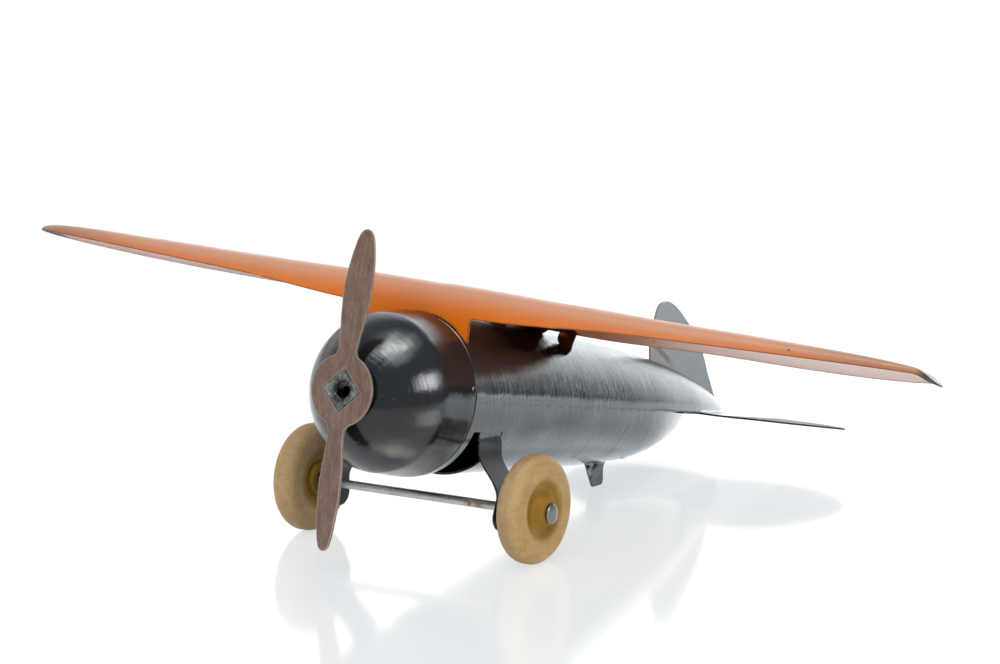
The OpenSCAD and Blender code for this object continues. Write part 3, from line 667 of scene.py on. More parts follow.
def makeLowerShell():
    gap = {"front": 43, "back": 62.6, "legMiddle": 54.3, "legHalf": 7, "fold": 21,
           "skidFront": 160.9, "skidBack": 173.6, "slotIn": 87.95, "slotOut": 85.5,
           "closeFrom": 210, "closePower": 1.7, "wavy": (66, 216, 8, 12),
           "waves": [(0.15, 16, 7.7), (0.04, 5, 1.3)]}
    leg = {"footX": 36.8, "axleN": -34.94, "footHalf": 9.3, "footCorner": 5, "sheet": 0.8,
           "hole": 1.63, "top": -10, "lean": 0.1, "bendTop": -16, "eye": 2.4, "widenAbove": 9,
           "footBelow": 8}
    angles = spread([0, gap["fold"], gap["slotOut"], gap["slotIn"], 180 - gap["slotIn"],
                     180 - gap["slotOut"], 180 - gap["fold"], 180], [9, 26, 1, 2, 1, 26, 9])
    legFront, legBack = gap["legMiddle"] - gap["legHalf"], gap["legMiddle"] + gap["legHalf"]
    rows = spread([hull["lipFrom"], 38.2, 39.4, gap["front"], legFront, legBack, gap["back"],
                   gap["skidFront"], gap["skidBack"], gap["closeFrom"], 221, hull["bellyEnd"]],
                  [5, 8, 2, 3, 12, 1, 38, 7, 20, 10, 12])

    # The rows lie closer and closer towards the belly's rounded end
    def place(column, row):
        s, rest = rows[row], hull["bellyEnd"] - gap["closeFrom"]
        if s > gap["closeFrom"]:
            s = hull["bellyEnd"] - rest * ((hull["bellyEnd"] - s) / rest) ** gap["closePower"]
        r, angle = max(shellRadius(s, True), 0.01), math.radians(angles[column])
        return Vector((r * math.cos(angle), s, -r * math.sin(angle)))

    bm = bmesh.new()
    pressedGrid(bm, len(angles) - 1, len(rows) - 1, place)

    def steep(co):
        return math.degrees(math.atan2(-co.z, abs(co.x)))

    def inOpening(face):
        co = face.calc_center_median()
        if gap["front"] < co.y < gap["back"] and steep(co) > gap["fold"]:
            return True
        inSlot = gap["slotOut"] < steep(co) < gap["slotIn"]
        return gap["skidFront"] < co.y < gap["skidBack"] and inSlot

    bmesh.ops.delete(bm, geom=[f for f in bm.faces if inOpening(f)], context="FACES")

    def foldRow(lineAngle, front, back, side):
        found = [v for v in bm.verts if front - 0.01 < v.co.y < back + 0.01 and v.co.x * side > 0
                 and abs(steep(v.co) - lineAngle) < 0.05]
        return sorted(found, key=lambda v: v.co.y)

    # The legs, one each side, drawn down row by row from the fold in the belly
    foldX = math.sqrt(upperRadius(gap["legMiddle"]) ** 2 - leg["top"] ** 2) - hull["sheet"] / 2
    eyeHigh, eyeLow = leg["axleN"] + leg["eye"], leg["axleN"] - leg["eye"]
    widenAt, footLow = leg["axleN"] + leg["widenAbove"], leg["axleN"] - leg["footBelow"]
    cornerAt = footLow + leg["footCorner"]
    heights = spread([-10.6, -12.5, leg["bendTop"], widenAt, eyeHigh, eyeLow, cornerAt,
                      footLow + 1.2, footLow], [2, 3, 9, 7, 4, 1, 5, 4])

    def legX(n):
        straight = foldX + leg["lean"] * (leg["top"] - max(n, leg["bendTop"]))
        return mix(straight, leg["footX"], ease((leg["bendTop"] - n) / (leg["bendTop"] - eyeHigh)))

    def legHalfAt(n):
        if n > cornerAt:
            down = max(widenAt - n, 0) / (widenAt - cornerAt)
            return mix(gap["legHalf"], leg["footHalf"], down)
        inner = leg["footHalf"] - leg["footCorner"]
        return inner + math.sqrt(max(leg["footCorner"] ** 2 - (cornerAt - n) ** 2, 0))

    for side in (1, -1):
        row = foldRow(gap["fold"], legFront, legBack, side)
        top = [v.co.copy() for v in row]
        grid = [row]
        for n in heights:
            def placeLeg(k, n=n):
                across = 2 * k / (len(row) - 1) - 1
                outer = legX(n) + leg["sheet"] / 2
                blend = ease((-10.2 - n) / 3.4)
                x = mix(top[k].x - side * 0.12 * (leg["top"] - n), side * outer, blend)
                return Vector((x, gap["legMiddle"] + across * legHalfAt(n), n))
            row = extrudeRow(bm, row, 1, placeLeg)
            grid.append(row)
        # A round hole for the axle: a block of faces goes, and its border is bridged to a circle
        middle = (len(row) - 1) // 2
        lowRow = min(range(len(grid)), key=lambda i: abs(grid[i][middle].co.z - eyeLow))
        block = {v for line in grid[lowRow - 4:lowRow + 1] for v in line[middle - 2:middle + 3]}
        cut = [f for f in bm.faces if all(v in block for v in f.verts)]
        border = [e for f in cut for e in f.edges if sum(g in cut for g in e.link_faces) == 1]
        bmesh.ops.delete(bm, geom=cut, context="FACES")
        x = side * (leg["footX"] + leg["sheet"] / 2)
        turned = Matrix.Rotation(math.pi / 2, 4, "Y")
        turned = Matrix.Translation((x, gap["legMiddle"], leg["axleN"])) @ turned
        circle = set(bmesh.ops.create_circle(bm, segments=16, radius=leg["hole"],
                                             matrix=turned)["verts"])
        ring = [e for e in bm.edges if all(v in circle for v in e.verts)]
        bmesh.ops.bridge_loops(bm, edges=border + ring)

    bmesh.ops.remove_doubles(bm, verts=bm.verts[:], dist=0.004)
    faceOutwards(bm, looksOutwards)

    def share(co):
        onBody = abs(math.hypot(co.x, co.z) - lowerRadius(co.y)) < 0.6
        return onBody * between(co.y, *gap["wavy"]) * ease(-co.z / 3)

    uneven(bm, gap["waves"], share)
    makePiece(bm, "lowerShellPressing", "black", "airframe", ["lower_shell"],
              toFloor, sheet=hull["sheet"], bevel=hull["bevel"])


makeLowerShell()


# A folded strip: its top lies inside the belly and its two sides go down through the slots
def makeTailSkid():
    skid = {"front": 161, "back": 173.5, "middle": 1.25, "sheet": 0.7, "foot": 7.8, "flare": 4,
            "corner": 1.6, "worn": 0.12, "bevel": 0.14}

    def at(s, above):
        return (toFloor @ Vector((0, s, above - lowerRadius(s)))).yz

    front, back = skid["front"], skid["back"]
    under, tip = at(back, -0.1), at(back + skid["flare"], -0.1)
    heel, corner = under.x - 0.3, skid["corner"]
    below = under - Vector((0.3, skid["flare"]))
    ramp = softCorner(below, under - Vector((0.2, 0.5)), tip, 8)
    edge = [at(s, skid["sheet"] * 1.5 + 0.2) for s in spread([back, front], [6])]
    edge += [at(front, -0.1)]
    edge += circlePart((heel - skid["foot"] + corner, corner), corner, 205, 270, 6)
    edge += circlePart((heel - corner, corner), corner, 270, 360, 6)
    edge += ramp + [under]
    bm = bmesh.new()
    flatPlate(bm, [[(skid["middle"], p.x, p.y) for p in edge]],
              [((0, 0, z * 1.5), (0, 0, 1)) for z in range(1, 8)])

    def aboveBelly(vert):
        co = toBody @ vert.co
        return co.z + lowerRadius(co.y)

    # The two sides, bridged along their seven highest corners
    highest = sorted(bm.verts, key=aboveBelly)[-7:]
    pair = bmesh.ops.duplicate(bm, geom=bm.verts[:] + bm.edges[:] + bm.faces[:])["vert_map"]
    bmesh.ops.translate(bm, verts=[v for v in bm.verts if v not in highest and v in pair.values()],
                        vec=(-2 * skid["middle"], 0, 0))
    made = highest + [pair[v] for v in highest]
    rims = [e for e in bm.edges if e.verts[0] in made and e.verts[1] in made]
    bmesh.ops.bridge_loops(bm, edges=rims)
    faceOutwards(bm, lambda face: face.normal.x * face.calc_center_median().x > 0)
    # The real one is bent a little, and its foot is worn round
    for vert in bm.verts:
        vert.co.x += skid["worn"] * noise.noise(vert.co / 5 + Vector((3, 1, 6)))
    makePiece(bm, "tailSkidFolded", "skid", "airframe", ["tail_skid"],
              sheet=skid["sheet"], offset=0, bevel=skid["bevel"])


makeTailSkid()


def makeFin():
    # Its edge is given aft of its front and below its top, as a share of its rise
    fin = {"front": 197, "length": 50, "top": 39.8, "seat": 0.1, "bend": 0.25, "wave": 0.3,
           "sheet": 0.7, "bevel": 0.13,
           "edge": [(-1.2, 0.72), (-0.4, 0.38), (1.4, 0.09), (5.5, 0), (11, 0.02), (17, 0.13),
                    (26, 0.37), (35, 0.67), (43, 1.15)]}
    foot, rise = fin["front"], fin["top"] - upperRadius(fin["front"])
    back = foot + fin["length"]
    edge = flowing([(foot, upperRadius(foot) + fin["seat"])]
                   + [(foot + s, fin["top"] - below * rise) for s, below in fin["edge"]]
                   + [(back, upperRadius(back) + 0.6)], 6)
    base = [Vector((s, upperRadius(s) - 0.25)) for s in spread([back, foot], [16])][:-1]
    bm = bmesh.new()
    flatPlate(bm, [[(0, p.x, p.y) for p in edge + base]],
              [((0, y, 0), (0, 1, 0)) for y in range(198, 246, 4)]
              + [((0, 0, z), (0, 0, 1)) for z in range(10, 39, 4)])
    # A slight bend towards the top, as if it had been leant on
    for vert in bm.verts:
        high = ease((vert.co.z - 24) / 16)
        vert.co.x += high * fin["bend"] + high * fin["wave"] * noise.noise(vert.co / 12)
    faceOutwards(bm, lambda face: face.normal.x > 0)
    makePiece(bm, "finSheet", "fin", "airframe", ["fin"], toFloor,
              sheet=fin["sheet"], offset=0, bevel=fin["bevel"])


makeFin()


def makeWing():
    wing = {"halfSpan": 189.5, "front": 40.5, "sweep": 27.3, "chord": 74.5, "low": 28.3,
            "lipRise": 2, "lipReach": 60, "fall": 1.5, "twist": 7.1, "crownMid": 9.4,
            "crownTip": 2.7, "crest": 0.13, "dihedral": 1, "tipRise": 3.3, "roll": 2.2,
            "rearDip": 1.7, "dipEnd": 5.6, "dipFade": 32, "tipBent": 2.2, "tipFrom": 0.965,
            "sheet": 0.7, "bevel": 0.14, "steps": 34, "waves": [(0.22, 34, 8.3), (0.06, 9, 4.1)]}
    apron = {"half": 21.5, "turn": 1.4, "seat": 0.1, "tongueIn": 3.0, "steps": 6,
             "depths": [0.15, 0.35, 0.65, 1.0, 1.4]}
    tab = {"middle": 15.2, "half": 3.5, "tongueHalf": 2.3, "steps": 7, "back": 0.9}
    outer = apron["half"] + apron["turn"]
    marks = [math.degrees(math.asin(x / wing["halfSpan"])) for x in
             (tab["middle"] - tab["half"], tab["middle"] + tab["half"], apron["half"], outer)]
    spans = spread([-90] + [-a for a in reversed(marks)] + marks + [90],
                   [44, 2, 3, 6, 26, 6, 3, 2, 44])
    roll = (Matrix.Translation((0, 0, wing["low"]))
            @ Matrix.Rotation(math.radians(wing["roll"]), 4, "Y")
            @ Matrix.Translation((0, 0, -wing["low"])))

    def riseAt(v):
        c = wing["crest"]
        if v < c:
            return max(1 - (1 - v / c) ** 2.4, 0) ** (1 / 2.4)
        return max(1 - ((v - c) / (1 - c)) ** 2.1, 0) ** (1 / 1.25)

    def place(column, row):
        a = math.radians(spans[column])
        u, w = math.sin(a), max(math.cos(a), 0.0)
        v = (1 - math.cos(math.pi * row / wing["steps"])) / 2
        tipS = wing["front"] + wing["sweep"]
        ahead = wing["front"] + wing["sweep"] * (1 - w)
        behind = tipS + (wing["chord"] - wing["sweep"]) * w
        s, x = ahead + (behind - ahead) * v, wing["halfSpan"] * u
        deeper = wing["lipRise"] * math.exp(-(x / wing["lipReach"]) ** 4)
        crown = ((wing["crownMid"] - (wing["crownMid"] - wing["crownTip"])
                  * (math.sqrt(u * u + 0.01) - 0.1)) * math.sqrt(max(1 - u ** 16, 0)))
        dip = wing["rearDip"] * math.exp(-abs(x / wing["dipEnd"]) ** 10 if x > 0
                                         else -(x / wing["dipFade"]) ** 4)
        fall = (wing["fall"] + wing["twist"] * abs(u) + dip) * (s - wing["front"]) / wing["chord"]
        n = (wing["low"] + wing["lipRise"] - deeper - fall
             + math.tan(math.radians(wing["dihedral"])) * abs(x) + wing["tipRise"] * u * u
             + (crown + deeper) * riseAt(v))
        # The left tip has been knocked down
        bent = wing["tipBent"] * ease((u - wing["tipFrom"]) / (1 - wing["tipFrom"]))
        return Vector((x, s, n - bent))

    # Height in the wing's own frame at which a point comes down to the fuselage
    def bodyTop(x, s, above):
        n = wing["low"]
        for _ in range(6):
            there = roll @ Vector((x, s, n))
            r = upperRadius(s) + above
            n += math.sqrt(max(r * r - there.x ** 2, 0)) - there.z
        return n

    bm = bmesh.new()
    pressedGrid(bm, len(spans) - 1, wing["steps"], place)
    bmesh.ops.remove_doubles(bm, verts=bm.verts[:], dist=0.01)
    for vert in bm.verts:
        if abs(vert.co.x) < 24:
            vert.co.z = max(vert.co.z, bodyTop(vert.co.x, vert.co.y, apron["seat"]))

    def lipRow(low, high, front):
        found = [v for v in bm.verts if v.is_boundary and low - 0.02 < v.co.x < high + 0.02
                 and (v.co.y < 60) == front]
        return sorted(found, key=lambda v: v.co.x)

    def addTongue(line):
        extrudeRow(bm, line, 0, lambda k: line[k].co - Vector((0, 0, apron["tongueIn"])))

    # The apron turns down from the front lip to the fuselage, with small rounds at its top
    row = lipRow(-outer, outer, True)
    top = [v.co.copy() for v in row]
    rounds = len(apron["depths"])
    for step in range(rounds + apron["steps"]):
        def placeApron(k, step=step):
            start = top[k]
            x = start.x * apron["half"] / outer
            full = max(start.z - bodyTop(x, wing["front"] + 0.6, apron["seat"]), 0.3)
            share = min(full / 3, 1)
            if step < rounds:
                d = apron["depths"][step]
                inwards = math.sqrt(max(apron["turn"] ** 2 - (apron["turn"] - d) ** 2, 0))
                x = start.x * (outer - inwards) / outer
                return Vector((x, start.y + 0.02 * d, start.z - d * share))
            t = (step + 1 - rounds) / apron["steps"]
            begin, end = start.z - apron["turn"] * share, start.z - full
            bow = 0.25 * math.sin(math.pi * t) * (1 - (x / apron["half"]) ** 2)
            return Vector((x, start.y + 0.03 + 0.3 * t - bow, mix(begin, end, t)))
        row = extrudeRow(bm, row, 0, placeApron)
    for side in (1, -1):
        addTongue([v for v in row if 15.5 < v.co.x * side < 21])

    # The rear tabs, narrowing to a rounded foot
    for side in (1, -1):
        low, high = tab["middle"] - tab["half"], tab["middle"] + tab["half"]
        row = lipRow(min(side * low, side * high), max(side * low, side * high), False)
        top = [v.co.copy() for v in row]
        for step in range(tab["steps"]):
            def placeTab(k, t=(step + 1) / tab["steps"]):
                start = top[k]
                out = start.x * side
                share = 1 - 0.3 * max(t * 3 - 2, 0) ** 2
                if out > tab["middle"]:
                    share *= 1 - 0.3 * t
                narrowed = tab["middle"] + (out - tab["middle"]) * share
                end = bodyTop(side * narrowed, start.y, apron["seat"])
                return Vector((side * narrowed, start.y - tab["back"] * ease(t * 2),
                               mix(start.z, end, t)))
            row = extrudeRow(bm, row, 0, placeTab)
        addTongue([v for v in row if abs(v.co.x * side - tab["middle"]) < tab["tongueHalf"]])

    faceOutwards(bm, lambda face: face.normal.z > 0)

    def free(co):
        return ease((abs(co.x) - 24) / 30) if co.z > 20 else 0

    uneven(bm, wing["waves"], free)
    makePiece(bm, "wingPressing", "orange", "airframe", ["wing"],
              toFloor @ roll, sheet=wing["sheet"], bevel=wing["bevel"])


makeWing()


def makePropeller():
    # Half of one blade's edge is given from the hub to the tip, as shares of width and reach
    prop = {"reach": 55, "hub": 12.5, "width": 10.2, "neck": 6.8, "sheet": 0.9, "twist": 11,
            "lean": 2.7, "turn": 2.5, "hole": 11, "bevel": 0.2, "bent": 0.22, "hammered": 0.07,
            "edge": [(0.37, 0.34), (0.45, 0.46), (0.5, 0.63), (0.45, 0.77), (0.35, 0.89),
                     (0.26, 0.955), (0.14, 0.99), (0, 1)]}
    edge = flowing([(prop["neck"] / 2, prop["hub"] + 1.2)]
                   + [(x * prop["width"], z * prop["reach"]) for x, z in prop["edge"]], 6)
    neckAngle = math.degrees(math.acos(prop["neck"] / 2 / prop["hub"])) - 5
    arcPart = circlePart((0, 0), prop["hub"], -neckAngle, neckAngle, 34)
    right = [Vector((p.x, -p.y)) for p in reversed(edge)] + arcPart + edge[:-1]
    left = [edge[-1]] + list(reversed(right[1:]))
    outline = [(p.x, 0, p.y) for p in right] + [(-p.x, 0, p.y) for p in left]
    square = prop["hole"] / math.sqrt(2)
    hole = [(square, 0, 0), (0, 0, square), (-square, 0, 0), (0, 0, -square)]
    bm = bmesh.new()
    flatPlate(bm, [outline, hole], [((0, 0, z * 1.8), (0, 0, 1)) for z in range(-30, 31)]
              + [((x * 2.5, 0, 0), (1, 0, 0)) for x in range(-4, 5)])
    faceOutwards(bm, lambda face: face.normal.y < 0)
    for vert in bm.verts:
        x, z = vert.co.x, vert.co.z
        far = abs(z)
        angle = math.radians(prop["twist"]) * ease((far - prop["hub"] + 1.5) / 5.5)
        leant = max(far - prop["hub"], 0) * math.tan(math.radians(prop["lean"]))
        vert.co.x = x * math.cos(angle)
        vert.co.y = math.copysign(1, z) * x * math.sin(angle) + leant
        bend = noise.noise(vert.co / 9 + Vector((2, 7, 1)))
        vert.co.y += prop["bent"] * bend * ease((far - 8) / 8)
        vert.co.y += prop["hammered"] * noise.noise(vert.co / 3)
    makePiece(bm, "propellerStamping", "rusted", "propeller_unit", ["propeller"],
              toFloor @ Matrix.Rotation(math.radians(prop["turn"]), 4, "Y"), sheet=prop["sheet"],
              offset=0, bevel=prop["bevel"])


makePropeller()


def makePropellerRivet():
    rivet = {"bore": 2.7, "wall": 0.6, "back": 5.05, "flange": 4.7, "steps": 72, "turn": 2.5,
             "spread": 1.32, "torn": 0.13, "ragged": 0.5, "bevel": 0.12}
    bore, back = rivet["bore"], rivet["back"]
    # The inner surface from the rolled rear flange, through the bore, to the spread mouth
    profile = [(rivet["flange"], back), (3.6, back), (2.95, back - 0.05), (2.75, back - 0.3),
               (bore, 4.0), (bore, 2.2), (bore, 1.0), (2.75, 0.45), (2.95, 0.05), (3.4, -0.25),
               (4.2, -0.5), (5.0, -0.66), (5.6, -0.72)]
    bm = bmesh.new()
    spun(bm, profile, rivet["steps"], (0, 1, 0))
    # The mouth was spread by a square punch, so it runs out into four torn corners
    for vert in bm.verts:
        angle = math.atan2(vert.co.z, vert.co.x)
        out = ease((0.9 - vert.co.y) / 1.5)
        if out > 0 and vert.co.y < 0.9:
            around = Vector((math.cos(angle), math.sin(angle)))
            grow = rivet["spread"] / (abs(around.x) + abs(around.y))
            corner = (grow - 0.93) / 0.39
            grow += rivet["torn"] * noise.noise(Vector((*(around * 5), out * 2)))
            vert.co.x *= mix(1, grow, out)
            vert.co.z *= mix(1, grow, out)
            rag = noise.noise(Vector((*(around * 6), 8 + vert.co.y * 3)))
            vert.co.y += out * (0.35 * (1 - corner) + rivet["ragged"] * rag)
    faceOutwards(bm, lambda face: not looksOutwards(face))
    makePiece(bm, "propellerRivetSpread", "rivet", "propeller_unit",
              ["propeller_rivet"], toFloor @ Matrix.Rotation(math.radians(rivet["turn"]), 4, "Y"),
              sheet=rivet["wall"], bevel=rivet["bevel"])


makePropellerRivet()


# A profile turned about the axle's line, once for each side of the toy
def turnedPair(profile, steps, name, finish, body, node, place, warp=None):
    for side, word in ((1, "left"), (-1, "right")):
        bm = bmesh.new()
        spun(bm, profile, steps, (1, 0, 0))
        bmesh.ops.recalc_face_normals(bm, faces=bm.faces[:])
        if warp:
            for vert in bm.verts:
                vert.co.x += warp(vert.co, side)
        if side < 0:
            bmesh.ops.transform(bm, matrix=Matrix.Rotation(math.pi, 4, "Z"), verts=bm.verts[:])
        makePiece(bm, name + word, finish, body.format(word), [node + word],
                  Matrix.Translation((side * place[0], place[1], place[2])))


def makeWheels():
    wheel = {"radius": 19, "track": 94, "width": 9, "bore": 2.53, "boss": 4.7, "out": 2.2,
             "dishOut": 10.5, "dishIn": 8, "deep": 1.2, "shoulder": 3.8, "flatFrom": 12.6,
             "shrunk": 0.16, "steps": 120}
    bore, boss, deep, flat = wheel["bore"], wheel["boss"], wheel["deep"], wheel["flatFrom"]
    dishOut, dishIn, shoulder = wheel["dishOut"], wheel["dishIn"], wheel["shoulder"]
    out = wheel["width"] / 2
    inside, high = -out, out + wheel["out"]
    face = flowing([(bore, high - 0.35), (bore + 0.35, high), (boss - 0.5, high - 0.04),
                    (boss, high - 0.45), (boss + 0.9, out), (boss + 1.8, out - deep + 0.1),
                    (7.8, out - deep - 0.02), (dishOut - 0.9, out - 0.75),
                    (dishOut + 0.3, out - 0.12), (flat, out)], 5)
    tread = circlePart((wheel["radius"] - shoulder, out - shoulder), shoulder, 90, 6, 12)
    treadIn = circlePart((wheel["radius"] - shoulder, shoulder - out), shoulder, -6, -90, 12)
    rear = flowing([(flat, inside), (dishIn + 0.6, inside + 0.12), (dishIn - 0.4, inside + 0.7),
                    (dishIn - 1.4, inside + deep), (boss + 0.9, inside + deep),
                    (boss + 0.2, inside + 0.2), (bore + 0.35, inside), (bore, inside + 0.35)], 5)
    profile = [(p.x, p.y) for p in face + tread + treadIn + rear]
    profile += [(bore, inside + 3), (bore, out - 3), (bore, high - 0.35)]

    # Turned wood shrinks and knocks a little out of true, apart from the tread's own radius
    def warp(co, side):
        r = math.hypot(co.y, co.z)
        soft = ease((r - 5) / 3) * ease((18.6 - r) / 3)
        return wheel["shrunk"] * soft * noise.noise(co / 6 + Vector((side * 5, 0, 0)))

    place = (wheel["track"] / 2, stance["axle"][1], stance["wheelMiddle"])
    turnedPair(profile, wheel["steps"], "wheelTurned_", "wood", "{}_wheel",
               "wheel_", place, warp)


makeWheels()


def makeAxleCaps():
    cap = {"radius": 3.4, "start": 53.9, "length": 1.4, "wall": 0.8, "bore": 1.57, "side": 0.6,
           "steps": 64}
    low, radius, bore = cap["start"], cap["radius"], cap["bore"]
    swell = cap["length"] - cap["side"]
    inside = low + cap["length"] - cap["wall"]
    turns = [math.radians(a) for a in range(0, 91, 6)]
    dome = [(radius * math.cos(a), low + cap["side"] + swell * math.sin(a)) for a in turns]
    profile = [(bore, low), (radius - 0.2, low), (radius - 0.05, low + 0.07), (radius, low + 0.2)]
    profile += dome + [(0, inside), (bore, inside), (bore, low)]
    turnedPair(profile, cap["steps"], "axleCapDome_", "bright", "axle_unit",
               "axle_cap_", stance["axle"])


makeAxleCaps()

kept = {"thrust_washer": "worn", "rivet_washer": "worn", "axle": "axle",
        "wheel_spacer_left": "worn", "wheel_spacer_right": "worn"}
for nodeName, finishName in kept.items():
    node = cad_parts[nodeName]
    if not node.material_slots:
        node.data.materials.append(finishes[finishName])
    for materialSlot in node.material_slots:
        materialSlot.material = finishes[finishName]
print("kept nodes:", ", ".join(kept))


# The unit vector towards an azimuth and a height, both in degrees
def towards(azimuth, height):
    a, h = math.radians(azimuth), math.radians(height)
    return Vector((math.sin(a) * math.cos(h), -math.cos(a) * math.cos(h), math.sin(h)))


# A part of the studio, whose material's shader comes from the given function
def stagePiece(bm, name, makeShader, hiddenFrom=()):
    mesh = meshFrom(bm, name)
    material = bpy.data.materials.new(name)
    material.use_nodes = True
    tree = material.node_tree
    tree.nodes.remove(tree.nodes["Principled BSDF"])
    feed(tree.nodes["Material Output"], {"Surface": makeShader(tree)})
    mesh.materials.append(material)
    made = intoScene(name, mesh)
    for kind in hiddenFrom:
        setattr(made, "visible_" + kind, False)


def makeFloor():
    floor = {"radius": 0.42, "albedo": (0.75, 0.75, 0.75), "seenAlbedo": (0.3, 0.3, 0.3),
             "glow": 0.8, "front": 0.35, "back": 1.5, "tint": (0.95, 0.99, 1.01),
             "glossTint": (0.9, 1.0, 1.07), "sheen": 0.2, "mirror": (1.16, 1.05, 1.0),
             "glowFrom": (-0.22, 0.12)}
    bm = bmesh.new()
    bmesh.ops.create_circle(bm, cap_ends=True, segments=96, radius=floor["radius"])

    # White where the camera sees it, brighter towards the back where the toy mirrors it
    def paint(tree):
        path = addNode(tree, "ShaderNodeLightPath").outputs
        camera = path["Is Camera Ray"]
        mirrored = maths("MAXIMUM", path["Is Glossy Ray"], path["Is Transmission Ray"])
        shade = blended(camera, colour(*floor["albedo"]), colour(*floor["seenAlbedo"]))
        tint = blended(camera, colour(*floor["glossTint"]), colour(*floor["tint"]))
        y = axes(addNode(tree, "ShaderNodeTexCoord").outputs["Object"])[1]
        backward = ranged(y, *floor["glowFrom"], (floor["front"], floor["back"]))
        strength = plus(times(camera, floor["glow"]), times(mirrored, backward))
        matt = nodeAfter("ShaderNodeBsdfDiffuse", {"Color": shade}).outputs[0]
        glow = nodeAfter("ShaderNodeEmission", {"Color": tint, "Strength": strength}).outputs[0]
        both = nodeAfter("ShaderNodeAddShader", {0: matt, 1: glow}).outputs[0]
        gloss = addNode(tree, "ShaderNodeBsdfGlossy", {"Color": colour(*floor["mirror"]),
                                                       "Roughness": 0.1}).outputs[0]
        return nodeAfter("ShaderNodeMixShader", {"Fac": floor["sheen"], 1: both,
                                                 2: gloss}).outputs[0]

    stagePiece(bm, "studioFloor", paint)


# A shell round the scene that only glossy rays see, lit as tintAndLight(way) says
def makeWall(name, reach, rows, tintAndLight, radius=2.6):
    wall = {"columns": 96, "rows": 24,
            "hiddenFrom": ("camera", "diffuse", "transmission", "volume_scatter", "shadow")}

    def place(column, row):
        azimuth = mix(reach[0], reach[1], column / wall["columns"])
        low, high = rows(azimuth)
        return radius * towards(azimuth, mix(low, high, row / wall["rows"]))

    def shine(tree):
        way = vectorMaths("NORMALIZE", addNode(tree, "ShaderNodeTexCoord").outputs["Object"])
        tint, light = tintAndLight(way)
        return addNode(tree, "ShaderNodeEmission", {"Color": tint, "Strength": light}).outputs[0]

    bm = bmesh.new()
    pressedGrid(bm, wall["columns"], wall["rows"], place)
    stagePiece(bm, name, shine, wall["hiddenFrom"])


# The dark front of the room, with a soft and cloudy patch of light high up in it
def makeDarkRoom():
    room = {"from": -92, "to": 163, "low": -12, "high": 90, "lowEnd": 12, "drop": 10,
            "shade": 0.5, "backShade": 0.15, "tint": (0.88, 1.0, 1.12), "roofFrom": 46,
            "patch": (34, 75), "patchLight": 24, "patchTint": (1.0, 1.06, 0.8),
            "patchEdge": (0.89, 0.99), "patchCloud": (0.44, 0.66), "backFrom": (0.3, 0.75)}

    def rows(azimuth):
        end = abs(room["to" if azimuth > 0 else "from"])
        past = (abs(azimuth) - end + room["drop"]) / room["drop"]
        return room["low"], mix(room["high"], room["lowEnd"], ease(past))

    def tintAndLight(way):
        near = vectorMaths("DOT_PRODUCT", way, towards(*room["patch"]))
        patch = times(ranged(near, *room["patchEdge"]),
                      ranged(cloudy(way, 7.0, 4.0, 0.65), *room["patchCloud"]))
        shade = ranged(axes(way)[1], *room["backFrom"], (room["shade"], room["backShade"]))
        tint = blended(patch, colour(*room["tint"]), colour(*room["patchTint"]))
        return tint, plus(shade, times(patch, room["patchLight"]))

    makeWall("studioRoomFront", (room["from"], room["to"]), rows, tintAndLight)
    makeWall("studioRoomRoof", (room["to"], 360 + room["from"]),
             lambda azimuth: (room["roofFrom"], room["high"]), tintAndLight)


# The bright wall behind, slightly blue, and a brighter strip low down beside it
def makeBackWall():
    wall = {"from": 164, "to": 223, "low": -4, "high": 44, "light": 2.8, "uneven": 0.15,
            "tint": (0.92, 0.985, 1.0), "sweep": (140, 162), "sweepLow": (-6.5, -3.4),
            "sweepLight": 5, "sweepAway": 1.2, "sideFade": (-0.45, -0.25, (0.55, 1))}

    def tintAndLight(way):
        lights = [wall["light"] * (1 + wall["uneven"] * k) for k in (-1, 1)]
        cloud = ranged(cloudy(way, 3.0, 3.0), 0.3, 0.7, lights)
        return colour(*wall["tint"]), times(ranged(axes(way)[0], *wall["sideFade"]), cloud)

    makeWall("studioRoomBack", (wall["from"], wall["to"]),
             lambda azimuth: (wall["low"], wall["high"]), tintAndLight)
    makeWall("studioSweep", wall["sweep"], lambda azimuth: wall["sweepLow"],
             lambda way: (colour(*wall["tint"]), wall["sweepLight"]), wall["sweepAway"])


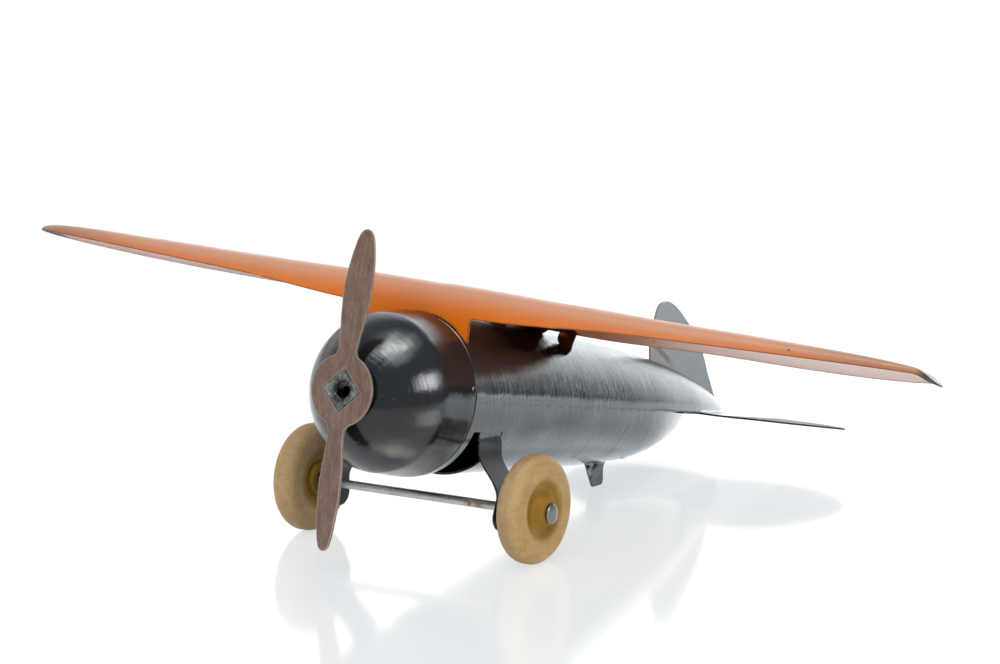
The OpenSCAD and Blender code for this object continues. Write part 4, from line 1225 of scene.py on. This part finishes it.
def makeLights():
    aim = Vector((0.0, -0.06, 0.05))
    lamps = {
        "windowLamp": {"azimuth": 87, "height": 21, "away": 1.5, "size": (0.62, 0.5),
                       "power": 12, "tint": (0.97, 0.98, 1.0), "hidden": "diffuse", "roll": -13},
        "topLamp": {"azimuth": 20, "height": 66, "away": 1.3, "size": (0.7, 0.5),
                    "power": 1.3, "tint": (1.0, 1.0, 0.97), "hidden": "glossy", "roll": 0},
        "backLamp": {"azimuth": 185, "height": 40, "away": 1.7, "size": (1.9, 1.0),
                     "power": 5, "tint": (0.94, 0.98, 1.0), "hidden": "glossy", "roll": 0},
        "frontLamp": {"azimuth": 20, "height": 38, "away": 2.2, "size": (1.6, 1.0),
                      "power": 15, "tint": (0.97, 0.99, 1.0), "hidden": "glossy", "roll": 0},
    }
    for name, lamp in lamps.items():
        data = bpy.data.lights.new(name, "AREA")
        data.shape, data.energy, data.color = "RECTANGLE", lamp["power"], lamp["tint"]
        data.size, data.size_y = lamp["size"]
        made = intoScene(name, data)
        away = towards(lamp["azimuth"], lamp["height"])
        made.location = aim + away * lamp["away"]
        turned = away.to_track_quat("Z", "Y").to_matrix()
        rolled = Matrix.Rotation(math.radians(lamp["roll"]), 3, "Z")
        made.rotation_euler = (turned @ rolled).to_euler()
        setattr(made, "visible_" + lamp["hidden"], False)
        made.visible_camera = False


# White where it is seen or mirrored, and a plain light on everything else
def makeWorld():
    plain = 0.5
    world = bpy.data.worlds.new("studioWorld")
    bpy.context.scene.world = world
    world.use_nodes = True
    path = addNode(world.node_tree, "ShaderNodeLightPath").outputs
    mirrored = maths("MAXIMUM", path["Is Glossy Ray"], path["Is Transmission Ray"])
    seen = maths("MAXIMUM", path["Is Camera Ray"], mirrored)
    feed(world.node_tree.nodes["Background"], {"Color": colour(1, 1, 1),
                                               "Strength": plus(times(seen, 1 - plain), plain)})


def makeCamera():
    shot = {"azimuth": 33.72, "height": 10.611, "away": 1.6, "lens": 168.65, "roll": -0.0368,
            "target": (0.03245, -0.07296, 0.07891)}
    data = bpy.data.cameras.new("photoCamera")
    data.lens, data.sensor_width = shot["lens"], 36
    data.clip_start, data.clip_end = 0.05, 50
    camera = intoScene("photoCamera", data)
    back = towards(shot["azimuth"], shot["height"])
    right = towards(shot["azimuth"] + 90, 0)
    up = back.cross(right)
    roll = math.radians(shot["roll"])
    turned = Matrix((right * math.cos(roll) + up * math.sin(roll),
                     up * math.cos(roll) - right * math.sin(roll), back))
    camera.matrix_world = (Matrix.Translation(Vector(shot["target"]) + back * shot["away"])
                           @ turned.transposed().to_4x4())
    bpy.context.scene.camera = camera


makeFloor()
makeDarkRoom()
makeBackWall()
makeLights()
makeWorld()
makeCamera()
bpy.context.scene.view_settings.view_transform = "Standard"
print("studio and camera made")

bpy.context.view_layer.update()
